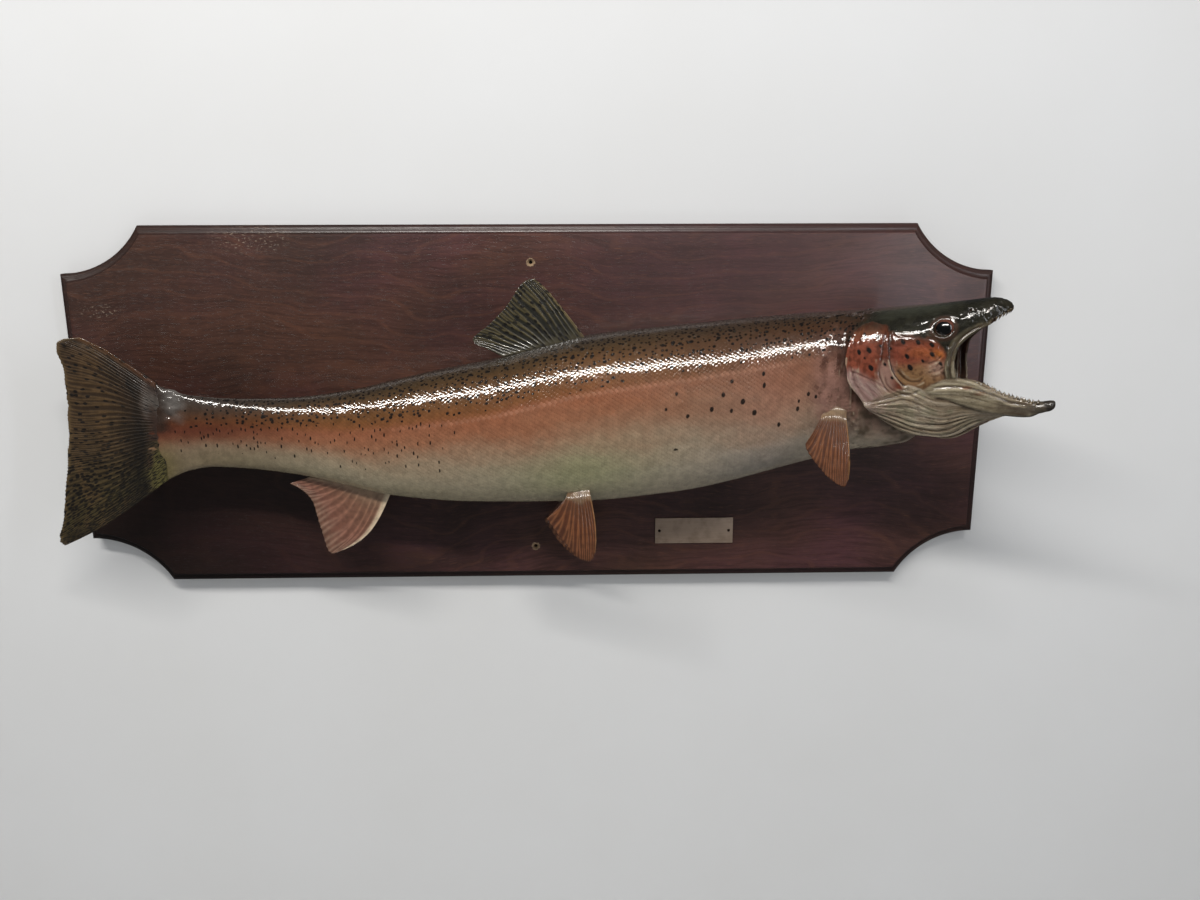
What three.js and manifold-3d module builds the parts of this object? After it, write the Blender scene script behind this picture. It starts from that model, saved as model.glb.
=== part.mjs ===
// A mounted trout: a life-size fish with its mouth open, on a wall plaque.
// Millimetres, +Z up. +X runs from tail to head along the plaque and -Y comes out of the wall.
// The origin is the centre of the plaque's back face, which lies on the wall plane Y = 0.
import * as THREE from 'three';
import { mergeVertices } from 'three/addons/utils/BufferGeometryUtils.js';
import Module from 'manifold-3d';

const wasm = await Module();
wasm.setup();

// Driving dimensions
const GAP = 0.3; // clearance between touching pieces

const PLAQUE_WIDTH = 840;
const PLAQUE_HEIGHT = 332;
const PLAQUE_THICKNESS = 20;
const NOTCH_WIDTH = 72; // the corner bites, along the top and bottom edges
const NOTCH_HEIGHT = 42; // the corner bites, along the end edges
const PLATE_WIDTH = 74; // name plate
const PLATE_HEIGHT = 25;
const PLATE_THICKNESS = 1;
const PLATE_CENTRE = new THREE.Vector2(150.6, -118.5);
const PIN_OFFSET = 33; // name plate pins, from the plate's centre
const SCREW_HOLES = [new THREE.Vector2(0, 133), new THREE.Vector2(0, -133)];
const SCREW_HOLE_RADIUS = 1.6;
const SCREW_HOLE_DEPTH = 8;
const PIN_RADIUS = 1.4;
const PIN_HEIGHT = 1;

const SPINE_Y = -68; // the fish's middle plane, where it lies straight
const TURN_FROM = 190; // stations between which the body bends to the head
const TURN_TO = 300;
const HEAD_TURN = THREE.MathUtils.degToRad(31);
const SWING_FROM = -250; // stations between which the tail swings out
const SWING_TO = -400;
const TAIL_SWING = THREE.MathUtils.degToRad(6);

const NAPE = 283; // station where the trunk meets the head
const STALK_END = -324; // station where the tail stalk meets the tail fin
const TRUNK_CUTS = [STALK_END, -200, -60, 110, NAPE];
const FLAT_SIDE = PLAQUE_THICKNESS + SPINE_Y + GAP; // reach of the side that rests on the plaque
const HEAD_FLOOR = 62; // height of the skull's underside behind the mouth
const EYE = { station: 355.4, side: 21, height: 86.9, radius: 9.4 };
const JAW_WALL = 4.6; // thickness of the lower jaw's arms
const JAW_SKEW = 0.16; // how far the jaw's far arm sinks, per width across
const FAR_SINK = 9; // the same at the far corner of the mouth
const FIN_EDGE = 0.9; // thickness of the fins at their edge

// Materials
const paint = (name, color, roughness, metalness = 0) => (
  new THREE.MeshStandardMaterial({ name, color, roughness, metalness })
);
const WOOD = paint('stained_wood', 0x3f2723, 0.45);
const METAL = paint('plate_metal', 0x8d8470, 0.4, 1);
const PIN_METAL = paint('pin_metal', 0x3a342c, 0.5, 1);
const SKIN = paint('painted_skin', 0x9a7050, 0.2);
const HEAD_SKIN = paint('head_skin', 0x55503a, 0.2);
const CHEEK_SKIN = paint('cheek_skin', 0xa5533c, 0.2);
const JAW_SKIN = paint('jaw_skin', 0xa89c78, 0.25);
const MOUTH_SKIN = paint('mouth_skin', 0x6e5548, 0.35);
const FIN_SKIN = paint('fin_skin', 0x7a5c38, 0.25);
const EYE_GLASS = paint('eye_glass', 0x14161a, 0.05);
const KYPE_SKIN = paint('kype_skin', 0x1c1a18, 0.3);

// The fish is drawn straight, in fish coordinates [station, side, height]: the station runs
// along the spine to the snout, the side is positive towards the viewer, and the height is Z.
// bend() then lays the spine out in the plaque's frame.
function turned(length, from, to, angle) {
  const rate = angle / (to - from);
  const inside = Math.min(Math.max(length - from, 0), to - from);
  const beyond = Math.max(length - to, 0);
  const heading = inside * rate;
  return {
    along: Math.min(length, from) + Math.sin(heading) / rate + beyond * Math.cos(angle),
    out: (1 - Math.cos(heading)) / rate + beyond * Math.sin(angle),
    heading,
  };
}

function bend([station, side, height]) {
  const isTail = station < 0;
  const part = isTail
    ? turned(-station, -SWING_FROM, -SWING_TO, TAIL_SWING)
    : turned(station, TURN_FROM, TURN_TO, HEAD_TURN);
  const heading = isTail ? -part.heading : part.heading;
  const x = (isTail ? -part.along : part.along) - side * Math.sin(heading);
  const y = SPINE_Y - part.out - side * Math.cos(heading);
  return [x, y, height];
}

// A smooth function through a few [station, value] pairs
function through(...pairs) {
  const slope = (i) => {
    const a = pairs[Math.max(i - 1, 0)];
    const b = pairs[Math.min(i + 1, pairs.length - 1)];
    return (b[1] - a[1]) / (b[0] - a[0]);
  };
  return (x) => {
    const last = pairs.length - 2;
    const i = Math.min(Math.max(pairs.findIndex((pair) => pair[0] > x) - 1, 0), last);
    const k = x >= pairs[last + 1][0] ? last : i;
    const [x0, y0] = pairs[k];
    const [x1, y1] = pairs[k + 1];
    const t = THREE.MathUtils.clamp((x - x0) / (x1 - x0), 0, 1);
    const span = x1 - x0;
    return (2 * t ** 3 - 3 * t ** 2 + 1) * y0 + (t ** 3 - 2 * t ** 2 + t) * span * slope(k)
      + (3 * t ** 2 - 2 * t ** 3) * y1 + (t ** 3 - t ** 2) * span * slope(k + 1);
  };
}

// A smooth path through points in fish coordinates, as a function of 0..1
function path(...points) {
  const knots = points.map((point) => new THREE.Vector3(...point));
  const curve = new THREE.CatmullRomCurve3(knots, false, 'centripetal');
  return (t) => curve.getPoint(t);
}

const range = (count) => Array.from({ length: count }, (_, i) => i);
const steps = (from, to, count) => range(count + 1).map((i) => from + (to - from) * (i / count));
const power = (value, exponent) => Math.sign(value) * Math.abs(value) ** exponent;

// A closed body from rings of points: walls between rings, and a fan over each end
function loft(rings) {
  const size = rings[0].length;
  const points = rings.flat();
  const triangles = [];
  for (const i of range(rings.length - 1)) {
    for (const j of range(size)) {
      const a = i * size + j;
      const b = i * size + (j + 1) % size;
      triangles.push([a, b, a + size], [b, b + size, a + size]);
    }
  }
  for (const [start, order] of [[0, -1], [(rings.length - 1) * size, 1]]) {
    const ring = points.slice(start, start + size);
    const centre = [0, 1, 2].map((axis) => ring.reduce((sum, p) => sum + p[axis], 0) / size);
    const hub = points.push(centre) - 1;
    for (const j of range(size)) {
      const edge = [start + j, start + (j + 1) % size];
      triangles.push(order > 0 ? [hub, ...edge] : [hub, edge[1], edge[0]]);
    }
  }
  return { points, triangles };
}

// A closed sheet from surface(u, v), with its thickness laid inwards or shared by both faces
function sheet(surface, thickness, columns, rows, inwards = true) {
  const at = (u, v) => new THREE.Vector3(...surface(u, v));
  const normal = (u, v) => {
    const du = at(Math.min(u + 0.02, 1), v).sub(at(Math.max(u - 0.02, 0), v));
    const dv = at(u, Math.min(v + 0.02, 1)).sub(at(u, Math.max(v - 0.02, 0)));
    const n = du.cross(dv).normalize();
    return n.y < 0 ? n.negate() : n;
  };
  const faces = (inwards ? [0, -1] : [0.5, -0.5]).map((share) => (
    steps(0, 1, rows).flatMap((v) => steps(0, 1, columns).map((u) => (
      at(u, v).addScaledVector(normal(u, v), share * thickness(u, v)).toArray()
    )))
  ));
  const width = columns + 1;
  const count = width * (rows + 1);
  const triangles = [];
  for (const i of range(rows)) {
    for (const j of range(columns)) {
      const a = i * width + j;
      const [b, c, d] = [a + 1, a + width + 1, a + width];
      triangles.push([a, b, c], [a, c, d]);
      triangles.push([a + count, c + count, b + count], [a + count, d + count, c + count]);
    }
  }
  const border = [
    ...range(columns),
    ...range(rows).map((i) => i * width + columns),
    ...range(columns).map((j) => rows * width + columns - j),
    ...range(rows).map((i) => (rows - i) * width),
  ];
  border.forEach((a, i) => {
    const b = border[(i + 1) % border.length];
    triangles.push([a, a + count, b + count], [a, b + count, b]);
  });
  return { points: faces.flat(), triangles };
}

// The surface between two edge paths, puffed out between them
function between(first, second, puff = () => 0) {
  return (u, v) => {
    const point = first(u).lerp(second(u), v);
    point.y += puff(u, v);
    return point.toArray();
  };
}

const mirrored = ({ points, triangles }) => ({
  points: points.map(([station, side, height]) => [station, -side, height]),
  triangles,
});

// Turns a shape into an indexed geometry with its faces pointing out
function geometryOf({ points, triangles }, layOut = bend) {
  const placed = points.map(layOut);
  const volume = triangles.reduce((sum, [a, b, c]) => {
    const cross = new THREE.Vector3(...placed[b]).cross(new THREE.Vector3(...placed[c]));
    return sum + cross.dot(new THREE.Vector3(...placed[a]));
  }, 0);
  const facing = volume > 0 ? triangles : triangles.map(([a, b, c]) => [a, c, b]);
  const geometry = new THREE.BufferGeometry();
  geometry.setAttribute('position', new THREE.Float32BufferAttribute(placed.flat(), 3));
  geometry.setIndex(facing.flat());
  return geometry;
}

// Joins and cuts
function solidOf(geometry) {
  const bare = geometry.clone();
  bare.deleteAttribute('normal');
  bare.deleteAttribute('uv');
  const merged = mergeVertices(bare, 1e-4);
  return new wasm.Manifold(new wasm.Mesh({
    numProp: 3,
    vertProperties: new Float32Array(merged.attributes.position.array),
    triVerts: new Uint32Array(merged.index.array),
  }));
}

function geometryOfSolid(solid) {
  const { vertProperties, triVerts } = solid.getMesh();
  const geometry = new THREE.BufferGeometry();
  geometry.setAttribute('position', new THREE.BufferAttribute(vertProperties, 3));
  geometry.setIndex(new THREE.BufferAttribute(triVerts, 1));
  return geometry;
}

const trout = new THREE.Group();

function add(name, geometry, material) {
  const mesh = new THREE.Mesh(geometry, material);
  mesh.name = name;
  trout.add(mesh);
}

// Adds a piece of the near side and its twin on the far side
function addPair(name, shape, material, farShape = mirrored(shape)) {
  add(`${name}_near`, geometryOf(shape), material);
  add(`${name}_far`, geometryOf(farShape), material);
}

// The plaque: its outline has a round bite out of each corner, and its edge is moulded
function plaqueOutline(inset, y) {
  const bite = (NOTCH_WIDTH ** 2 - NOTCH_HEIGHT ** 2) / (2 * NOTCH_HEIGHT) + NOTCH_HEIGHT;
  const centre = [PLAQUE_WIDTH / 2, PLAQUE_HEIGHT / 2 + bite - NOTCH_HEIGHT];
  const radius = bite + inset;
  const side = PLAQUE_WIDTH / 2 - inset;
  const top = PLAQUE_HEIGHT / 2 - inset;
  const from = Math.PI + Math.asin((centre[1] - top) / radius);
  const to = Math.PI + Math.acos((centre[0] - side) / radius);
  const corner = steps(from, to, 8).map((a) => (
    [centre[0] + radius * Math.cos(a), centre[1] + radius * Math.sin(a)]
  ));
  const back = [...corner].reverse();
  return [
    ...corner.map(([x, z]) => [x, y, z]),
    ...back.map(([x, z]) => [x, y, -z]),
    ...corner.map(([x, z]) => [-x, y, -z]),
    ...back.map(([x, z]) => [-x, y, z]),
  ];
}

// The edge's moulding, as [inset from the outline, distance behind the front face]
const MOULDING = [[0, 10], [0.9, 7], [3, 5], [4.4, 4.6], [7.6, 2.2], [8, 0]];

function plaque() {
  const back = [[1, 0], [0, 1]];
  const front = MOULDING.map(([inset, behind]) => [inset, PLAQUE_THICKNESS - behind]);
  const rings = [...back, ...front].map(([inset, depth]) => plaqueOutline(inset, -depth));
  let solid = solidOf(geometryOf(loft(rings), (point) => point));
  for (const hole of SCREW_HOLES) {
    const drill = new THREE.CylinderGeometry(
      SCREW_HOLE_RADIUS,
      SCREW_HOLE_RADIUS,
      2 * SCREW_HOLE_DEPTH,
      12,
    );
    drill.translate(hole.x, -PLAQUE_THICKNESS, hole.y);
    solid = solid.subtract(solidOf(drill));
  }
  return geometryOfSolid(solid);
}

add('plaque', plaque(), WOOD);

// The blank name plate and its two pins
const plateFront = -(PLAQUE_THICKNESS + GAP + PLATE_THICKNESS);
const plate = new THREE.BoxGeometry(PLATE_WIDTH, PLATE_THICKNESS, PLATE_HEIGHT);
plate.translate(PLATE_CENTRE.x, plateFront + PLATE_THICKNESS / 2, PLATE_CENTRE.y);
add('name_plate', plate, METAL);
const pinProfile = [[0, 0], [1, 0], [0.86, 0.5], [0.5, 0.85], [0, 1]].map(([across, up]) => (
  new THREE.Vector2(across * PIN_RADIUS, up * PIN_HEIGHT)
));
for (const [side, name] of [[-1, 'plate_pin_left'], [1, 'plate_pin_right']]) {
  const pin = new THREE.LatheGeometry(pinProfile, 10);
  pin.rotateX(Math.PI);
  pin.translate(PLATE_CENTRE.x + side * PIN_OFFSET, plateFront - GAP, PLATE_CENTRE.y);
  add(name, pin, PIN_METAL);
}

// The trunk, from the tail stalk to the nape
const trunkTop = through(
  [-324, 37], [-312, 30], [-300, 25.4], [-286, 23], [-262, 21], [-234, 20.4], [-191, 22],
  [-148, 28.6], [-112, 37], [-72, 46], [-29, 54.5], [10, 64.3], [49, 73], [95, 78.6],
  [129, 82.2], [197, 88.6], [283, 96.2],
);
const trunkLow = through(
  [-324, -55], [-312, -48.5], [-300, -44], [-278, -40.6], [-239, -43.2], [-199, -49], [-163, -57.5],
  [-127, -66.2], [-70, -72.2], [5, -73.2], [58, -72.5], [106, -67.6], [150, -61.2], [200, -49],
  [242, -36.4], [283, -23],
);
const trunkSide = through(
  [-324, 4], [-300, 7.5], [-262, 11.5], [-235, 15], [-200, 20], [-148, 27.5], [-100, 34.5],
  [-50, 40.5], [0, 44.8], [50, 47], [100, 47.6], [150, 47], [200, 45.4], [240, 43.2], [283, 39.5],
);
const FAR_SWELL = 1.05; // the side that rests on the plaque is a little fuller
const RING_POINTS = 32;


function trunkRing(station) {
  const [top, low, side] = [trunkTop(station), trunkLow(station), trunkSide(station)];
  const forward = THREE.MathUtils.smoothstep(station, 150, NAPE);
  const middle = low + (top - low) * (0.52 + 0.06 * forward);
  const roundness = 2 / (2.15 + 0.15 * forward);
  return range(RING_POINTS).map((i) => {
    const angle = (i / RING_POINTS) * 2 * Math.PI;
    const across = power(Math.cos(angle), roundness);
    const up = power(Math.sin(angle), roundness);
    const width = across < 0 ? side * FAR_SWELL : side;
    const reach = up > 0 ? top - middle : middle - low;
    return [station, Math.max(width * across, FLAT_SIDE), middle + reach * up];
  });
}

const TRUNK_NAMES = ['tail_stalk', 'trunk_rear', 'trunk_middle', 'trunk_front'];
TRUNK_NAMES.forEach((name, i) => {
  const stations = steps(TRUNK_CUTS[i] + GAP, TRUNK_CUTS[i + 1], i === 3 ? 10 : 7);
  add(name, geometryOf(loft(stations.map(trunkRing))), SKIN);
});

// The skull with the snout and the roof of the mouth
const headTop = through(
  [283, 96.4], [300, 98.6], [320, 101.3], [342, 104], [365, 107.4], [385, 110.2], [394, 109.6],
  [398, 108.2], [400, 106.6], [401.5, 104.6],
);
const headLow = through(
  [283, HEAD_FLOOR], [325, HEAD_FLOOR], [338, HEAD_FLOOR + 0.6], [350, 66], [359, 73],
  [366, 80.5], [371, 84.4], [378, 88.6], [387, 93], [394, 97], [400, 101.3], [401.5, 102.8],
);
const headSide = through(
  [283, 38.5], [300, 40.4], [317, 41], [330, 39.4], [343, 36.2], [356, 31], [365, 26.4], [372, 22.8],
  [379, 19], [387, 14.8], [394, 10.6], [398, 7.4], [400, 5], [401.5, 2],
);
const dome = through([283, 2], [340, 2.3]); // roundness of the skull's cross-section

// Half width of the head at a station and height: a dome above, drawn in a little below
function headReach(station, height) {
  const low = headLow(station);
  const rise = Math.min(Math.max((height - low) / (headTop(station) - low), 0), 0.999);
  const drop = Math.max(HEAD_FLOOR - height, 0) / 25;
  const arc = (1 - rise ** dome(station)) ** (1 / dome(station));
  return headSide(station) * arc * (1 - 0.1 * drop ** 2);
}

function headRing(station) {
  const [top, low, side] = [headTop(station), headLow(station), headSide(station)];
  const arch = 0.22 * (top - low) * THREE.MathUtils.smoothstep(station, 345, 375);
  const vault = range(19).map((i) => {
    const angle = (i / 18) * Math.PI;
    const up = power(Math.sin(angle), 2 / dome(station));
    return [station, side * power(Math.cos(angle), 2 / dome(station)), low + (top - low) * up];
  });
  const roof = [-0.72, -0.4, 0, 0.4, 0.72].map((share) => (
    [station, side * share, low + arch * (1 - share ** 2)]
  ));
  return [...vault, ...roof];
}

// A row of cone teeth along both sides of a jaw, with their roots at edge(station, flank)
function withTeeth(solid, stations, edge, length, up) {
  let toothed = solid;
  for (const station of stations) {
    for (const flank of [-1, 1]) {
      const [root, side, height] = edge(station, flank);
      const tooth = new THREE.ConeGeometry(0.8, length + 1, 5);
      tooth.rotateX(up * Math.PI / 2);
      tooth.translate(...bend([root, side, height + up * length / 2]));
      toothed = toothed.add(solidOf(tooth));
    }
  }
  return toothed;
}

const eyeball = (grow) => {
  const ball = new THREE.SphereGeometry(EYE.radius + grow, 16, 10);
  ball.scale(1.06, 0.92, 0.92);
  ball.rotateX(Math.PI / 2);
  return ball;
};
const eyeAt = (flank) => bend([EYE.station, flank * EYE.side, EYE.height]);

function head() {
  const stations = [
    NAPE + GAP, 292, 303, 314, 325, 336, 345, 352, 359, 366, 372, 379, 386, 391, 395, 398, 400, 401.5,
  ];
  const skull = solidOf(geometryOf(loft(stations.map(headRing))));
  const edge = (station, flank) => [station, flank * headSide(station) * 0.93, headLow(station)];
  let solid = withTeeth(skull, steps(388.5, 398.5, 4), edge, 2.4, -1);
  for (const flank of [-1, 1]) {
    solid = solid.subtract(solidOf(eyeball(GAP).translate(...eyeAt(flank))));
  }
  return geometryOfSolid(solid);
}

add('head', head(), HEAD_SKIN);
add('eye_near', eyeball(0).translate(...eyeAt(1)), EYE_GLASS);
add('eye_far', eyeball(0).translate(...eyeAt(-1)), EYE_GLASS);

// A point on the head's flank, lifted off it
const onHead = (station, height, lift = 0) => [station, headReach(station, height) + lift, height];

// Cheeks, below the skull and behind the mouth; sink lowers the corner of the mouth
const cheek = (sink) => sheet(between(
  path(...[317.6, 330, 341, 350, 357].map((s) => onHead(s, headLow(s) - 3 * GAP))),
  path(
    onHead(324.2, 49), onHead(331.5, 39.6 - 0.2 * sink), onHead(337.5, 36.8 - 0.7 * sink),
    onHead(343, 40 - sink), onHead(352, 47 - sink), onHead(359, 50 - sink),
  ),
  (u, v) => 1.5 * Math.sin(Math.PI * v),
), () => 5, 6, 5);
addPair('cheek', cheek(0), CHEEK_SKIN, mirrored(cheek(FAR_SINK)));

// The folding upper lips, which hang from the snout to the corners of the mouth
const lip = (sink) => sheet(between(
  path(
    [386.5, 14.6, 90.4], [378, 19, 86.2], [369.5, 23.8, 80.6], [361.8, 27.8, 72.4], [359, 30, 62],
    [361, 30, 50.8 - sink],
  ),
  path(
    [387, 13.6, 88.6], [379.5, 17.6, 84], [373, 21.2, 78.6], [367.5, 24.6, 71.6], [366, 26.8, 62],
    [370, 27.2, 50.8 - sink],
  ),
), () => 2.4, 9, 2);
addPair('lip', lip(0), JAW_SKIN, mirrored(lip(FAR_SINK)));

// Gill covers, which stand off the body at their rear edge
const gillFront = path(
  onHead(312, 88.4, 0.9), onHead(316, 80, 0.9), onHead(317, 72, 1.2),
  onHead(318.6, 61.6, 1.4), onHead(323, 49.4, 1.6), onHead(331.4, 39, 1.6),
);
const gillRear = path(
  [301, 31.6, 91], [289.6, 36.6, 86], [282.4, 43.4, 73], [280.6, 46.5, 58], [284, 46.8, 43],
  [300, 44, 25.4],
);
const gillPuff = (u, v) => 2.4 * Math.sin(Math.PI * v) + 0.8;
const gillThickness = (u, v) => 1.4 + 1.4 * Math.sin(Math.PI * v);
const gillCover = sheet(between(gillFront, gillRear, gillPuff), gillThickness, 9, 7);
addPair('gill_cover', gillCover, CHEEK_SKIN);

// The pleated membranes below the gill covers and the lower jaw
const membrane = (top, low) => sheet(
  between(top, low, (u, v) => 5 * Math.sin(Math.PI * v) * (1 - 0.6 * u)),
  () => 2,
  10,
  5,
);
const nearMembrane = membrane(
  path(
    [301.5, 43.6, 24], [317, 41.6, 31], [333, 37.6, 37.2], [341, 35, 34.6], [350, 30.6, 29.4],
    [364, 25.4, 26.8], [384, 15.4, 20.2], [400, 9.6, 16.6],
  ),
  path(
    [305, 37.5, 18], [316, 33, 9], [330, 27, 1], [346, 18, -2.4], [364, 8, -2.4], [384, 2.4, 9.6],
    [400, 2.2, 14.8],
  ),
);
const farMembrane = membrane(
  path(
    [301.5, 43.6, 24], [317, 41.6, 29.6], [333, 37.6, 30], [345, 33, 21.4], [364, 26, 19.6],
    [384, 15.4, 15.6], [400, 9.6, 14.2],
  ),
  path(
    [305, 37.5, 14], [320, 33, -2], [338, 26, -9.6], [353, 18, -10.6], [367, 9, -5.6], [386, 2.4, 8],
    [400, 2.2, 13.4],
  ),
);
addPair('gill_membrane', nearMembrane, JAW_SKIN, mirrored(farMembrane));

// The body wall between the gill covers, which narrows to the throat
const ISTHMUS_LENGTH = 55;

function isthmusRing(station) {
  const along = (station - NAPE) / ISTHMUS_LENGTH;
  const side = 37.5 - 15 * along;
  const top = HEAD_FLOOR - 2 * GAP;
  const low = -22.8 + 14 * along - 1.5 * Math.sin(Math.PI * along);
  const middle = low + (top - low) * 0.6;
  return range(24).map((i) => {
    const angle = (i / 24) * 2 * Math.PI;
    const up = power(Math.sin(angle), 0.85);
    const reach = up > 0 ? top - middle : middle - low;
    return [station, side * power(Math.cos(angle), 0.85), middle + reach * up];
  });
}

const isthmusStations = steps(NAPE + GAP, NAPE + ISTHMUS_LENGTH, 5);
add('isthmus', geometryOf(loft(isthmusStations.map(isthmusRing))), MOUTH_SKIN);

// The lower jaw: two arms that meet at the chin, with the floor of the mouth between them
const jawTop = through(
  [343, 39.2], [352, 45.2], [361, 48.4], [370, 48.6], [381, 45.4], [391, 40.2], [402, 35.7],
  [411, 33.3], [424, 31], [432, 30.6],
);
const jawLow = through([343, 34], [364, 30.8], [387, 23.2], [407, 20], [424, 20.4], [432, 22]);
const jawSide = through(
  [343, 32.4], [352, 30.6], [361, 28.4], [370, 25.8], [381, 21], [391, 16], [402, 11], [411, 8],
  [424, 5], [432, 3.6],
);

// Lowers a point of the jaw by its distance from the near arm
const skewed = (station, side, height) => (
  [station, side, height - JAW_SKEW * (jawSide(station) - side)]
);

function jawRing(station) {
  const [top, low, side] = [jawTop(station), jawLow(station), jawSide(station)];
  const wall = Math.min(JAW_WALL, 0.55 * side);
  const filled = THREE.MathUtils.smoothstep(station, 396, 424);
  const floor = THREE.MathUtils.lerp(low + 2, top - 1.2, filled);
  const half = [
    [side - wall / 2, top], [side, top - 1.2], [side + 0.8, (top + low) / 2], [side * 0.96, low],
    [side * 0.5, low - 1.4],
  ];
  const inner = [[side - wall, top - 1], [side - wall - 0.3, Math.max(floor + 0.6, low + 3)]];
  const near = [...half, [0, low - 1.6]];
  const far = [...half].reverse().map(([w, z]) => [-w, z]);
  const bed = [...inner.map(([w, z]) => [-w, z]), [0, floor], ...[...inner].reverse()];
  return [...near, ...far, ...bed].map(([w, z]) => skewed(station, w, z));
}

const jawStations = [344, 352, 361, 370, 379, 388, 396, 403, 410, 417, 424, 431];
const jaw = solidOf(geometryOf(loft(jawStations.map(jawRing))));
const jawEdge = (station, flank) => skewed(station, flank * jawSide(station) * 0.86, jawTop(station));
add('lower_jaw', geometryOfSolid(withTeeth(jaw, steps(386, 428, 9), jawEdge, 2, 1)), JAW_SKIN);

// The hooked dark tip of the lower jaw
const kypeRings = [
  [431.4, 3.4, 26.4, 4.2], [434, 3.6, 27, 4.2], [436.4, 2.9, 27.8, 3.6], [438.2, 1.2, 28.4, 1.6],
].map(([station, side, middle, rise]) => (
  range(12).map((i) => {
    const angle = (i / 12) * 2 * Math.PI;
    return [station, side * Math.cos(angle), middle + rise * Math.sin(angle)];
  })
));
add('kype', geometryOf(loft(kypeRings)), KYPE_SKIN);

// The tongue, on the floor of the mouth
const tongueRings = [
  [346, 10, 3], [356, 11, 5.5], [368, 10, 6], [380, 7, 5], [390, 3.6, 2.6],
].map(([station, side, rise]) => {
  const base = jawLow(station) + 2.2 + 2 * GAP;
  return range(12).map((i) => {
    const angle = (i / 12) * 2 * Math.PI;
    return skewed(station, side * Math.cos(angle), base + (rise / 2) * (1 + Math.sin(angle)));
  });
});
add('tongue', geometryOf(loft(tongueRings)), MOUTH_SKIN);

// Fins: rays run from a root path to an edge path, and bow() sets the outline's curve
function fin(root, edge, rootThickness, bow = () => [0, 0, 0]) {
  const surface = (u, v) => {
    const point = root(u).lerp(edge(u), v);
    const shift = bow(u).map((value) => value * Math.sin(Math.PI * v));
    return point.add(new THREE.Vector3(...shift)).toArray();
  };
  const thickness = (u, v) => THREE.MathUtils.lerp(rootThickness, FIN_EDGE, v ** 0.6);
  return sheet(surface, thickness, 9, 6, false);
}

const tailFin = fin(
  path(...[36.6, 14, -9, -32, -54.6].map((height) => [STALK_END, 0, height])),
  path(
    [-381, 0, 75], [-398.5, 0, 71.4], [-396.2, 0, 43.8], [-397, 0, 5.7], [-400, 0, -20], [-404, 0, -43],
    [-411, 0, -80], [-417.2, 0, -104], [-414.6, 0, -109.3],
  ),
  7,
  (u) => [0, 0, u < 0.5 ? 3 * (1 - 2 * u) : -5 * (2 * u - 1)],
);
add('tail_fin', geometryOf(tailFin), FIN_SKIN);

const DORSAL_ROOT = [[46.5, 0.5], [23, 0.6], [0, 0.6], [-24, 0.5]];
add('dorsal_fin', geometryOf(fin(
  path(...DORSAL_ROOT.map(([station, lift]) => [station, 0, trunkTop(station) + lift])),
  path([5, 0, 122], [-4, 0, 120], [-18, 0, 100.8], [-34, 0, 84], [-49, 0, 71], [-47, 0, 67]),
  5,
  (u) => [0, 0, 3 * (1 - u)],
)), FIN_SKIN);

const ANAL_ROOT = [-126, -148, -170, -196];
add('anal_fin', geometryOf(fin(
  path(...ANAL_ROOT.map((station) => [station, 0, trunkLow(station) - 0.5])),
  path(
    [-170, 0, -118], [-182, 0, -121.5], [-190, 0, -97], [-197, 0, -70], [-206, 0, -61],
    [-214, 0, -56.5],
  ),
  5,
  (u) => [4 * (1 - u), 0, -7 * (1 - u)],
)), FIN_SKIN);

add('pelvic_fin_near', geometryOf(fin(
  path([51, 33, -58], [41, 32.4, -59.6], [31.5, 32, -61]),
  path([55, 40, -110], [52, 40.6, -117], [43, 40, -116.5], [28, 38, -100], [13.5, 36, -80]),
  3.4,
  (u) => [2.5 * (1 - u), 2, 0],
)), FIN_SKIN);
add('pelvic_fin_far', geometryOf(fin(
  path([51, -16, -71.6], [41, -16.4, -72.2], [31.5, -17, -72.4]),
  path([53, -22, -132], [49, -22.4, -139], [40, -22, -137], [26, -21, -124], [9, -20, -98]),
  3.4,
  (u) => [2.5 * (1 - u), -2, 0],
)), FIN_SKIN);

add('pectoral_fin_near', geometryOf(fin(
  path([283, 43.6, 14], [271, 45.4, 15], [259, 46.4, 11]),
  path([294, 58, -36], [290, 59, -43], [280, 59, -41], [262, 57, -31], [244, 53, -15], [243, 52, -11]),
  4.4,
  (u) => [3 * (1 - u), 2.5, 0],
)), FIN_SKIN);
add('pectoral_fin_far', geometryOf(fin(
  path([283, -43.6, 14], [273, -45.4, 17], [263, -46.4, 18]),
  path(
    [250, -54, -20], [242, -52.4, -22], [232, -49.6, -14], [224, -48.6, 2], [222, -48.3, 14],
    [226, -48.5, 18],
  ),
  4.4,
  (u) => [0, -1.6, -3 * (1 - u)],
)), FIN_SKIN);

export default trout;
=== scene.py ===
# %% [markdown]
# # A mounted trout on its wall plaque
# A taxidermist's trout is a real skin stretched over a carved form, painted with an airbrush,
# covered in clear lacquer and screwed to a stained board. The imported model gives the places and
# sizes of all the pieces. This lesson dresses them: one seamless skin, scales, fins, a glass eye,
# teeth, and a moulded wooden plaque with its blank name plate. Everything is worked out by
# formulas from a few sizes, so a change of one value carries through.

# %% Load the frame
import math

import bmesh
import bpy
import numpy as np
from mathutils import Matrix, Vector, kdtree


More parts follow.
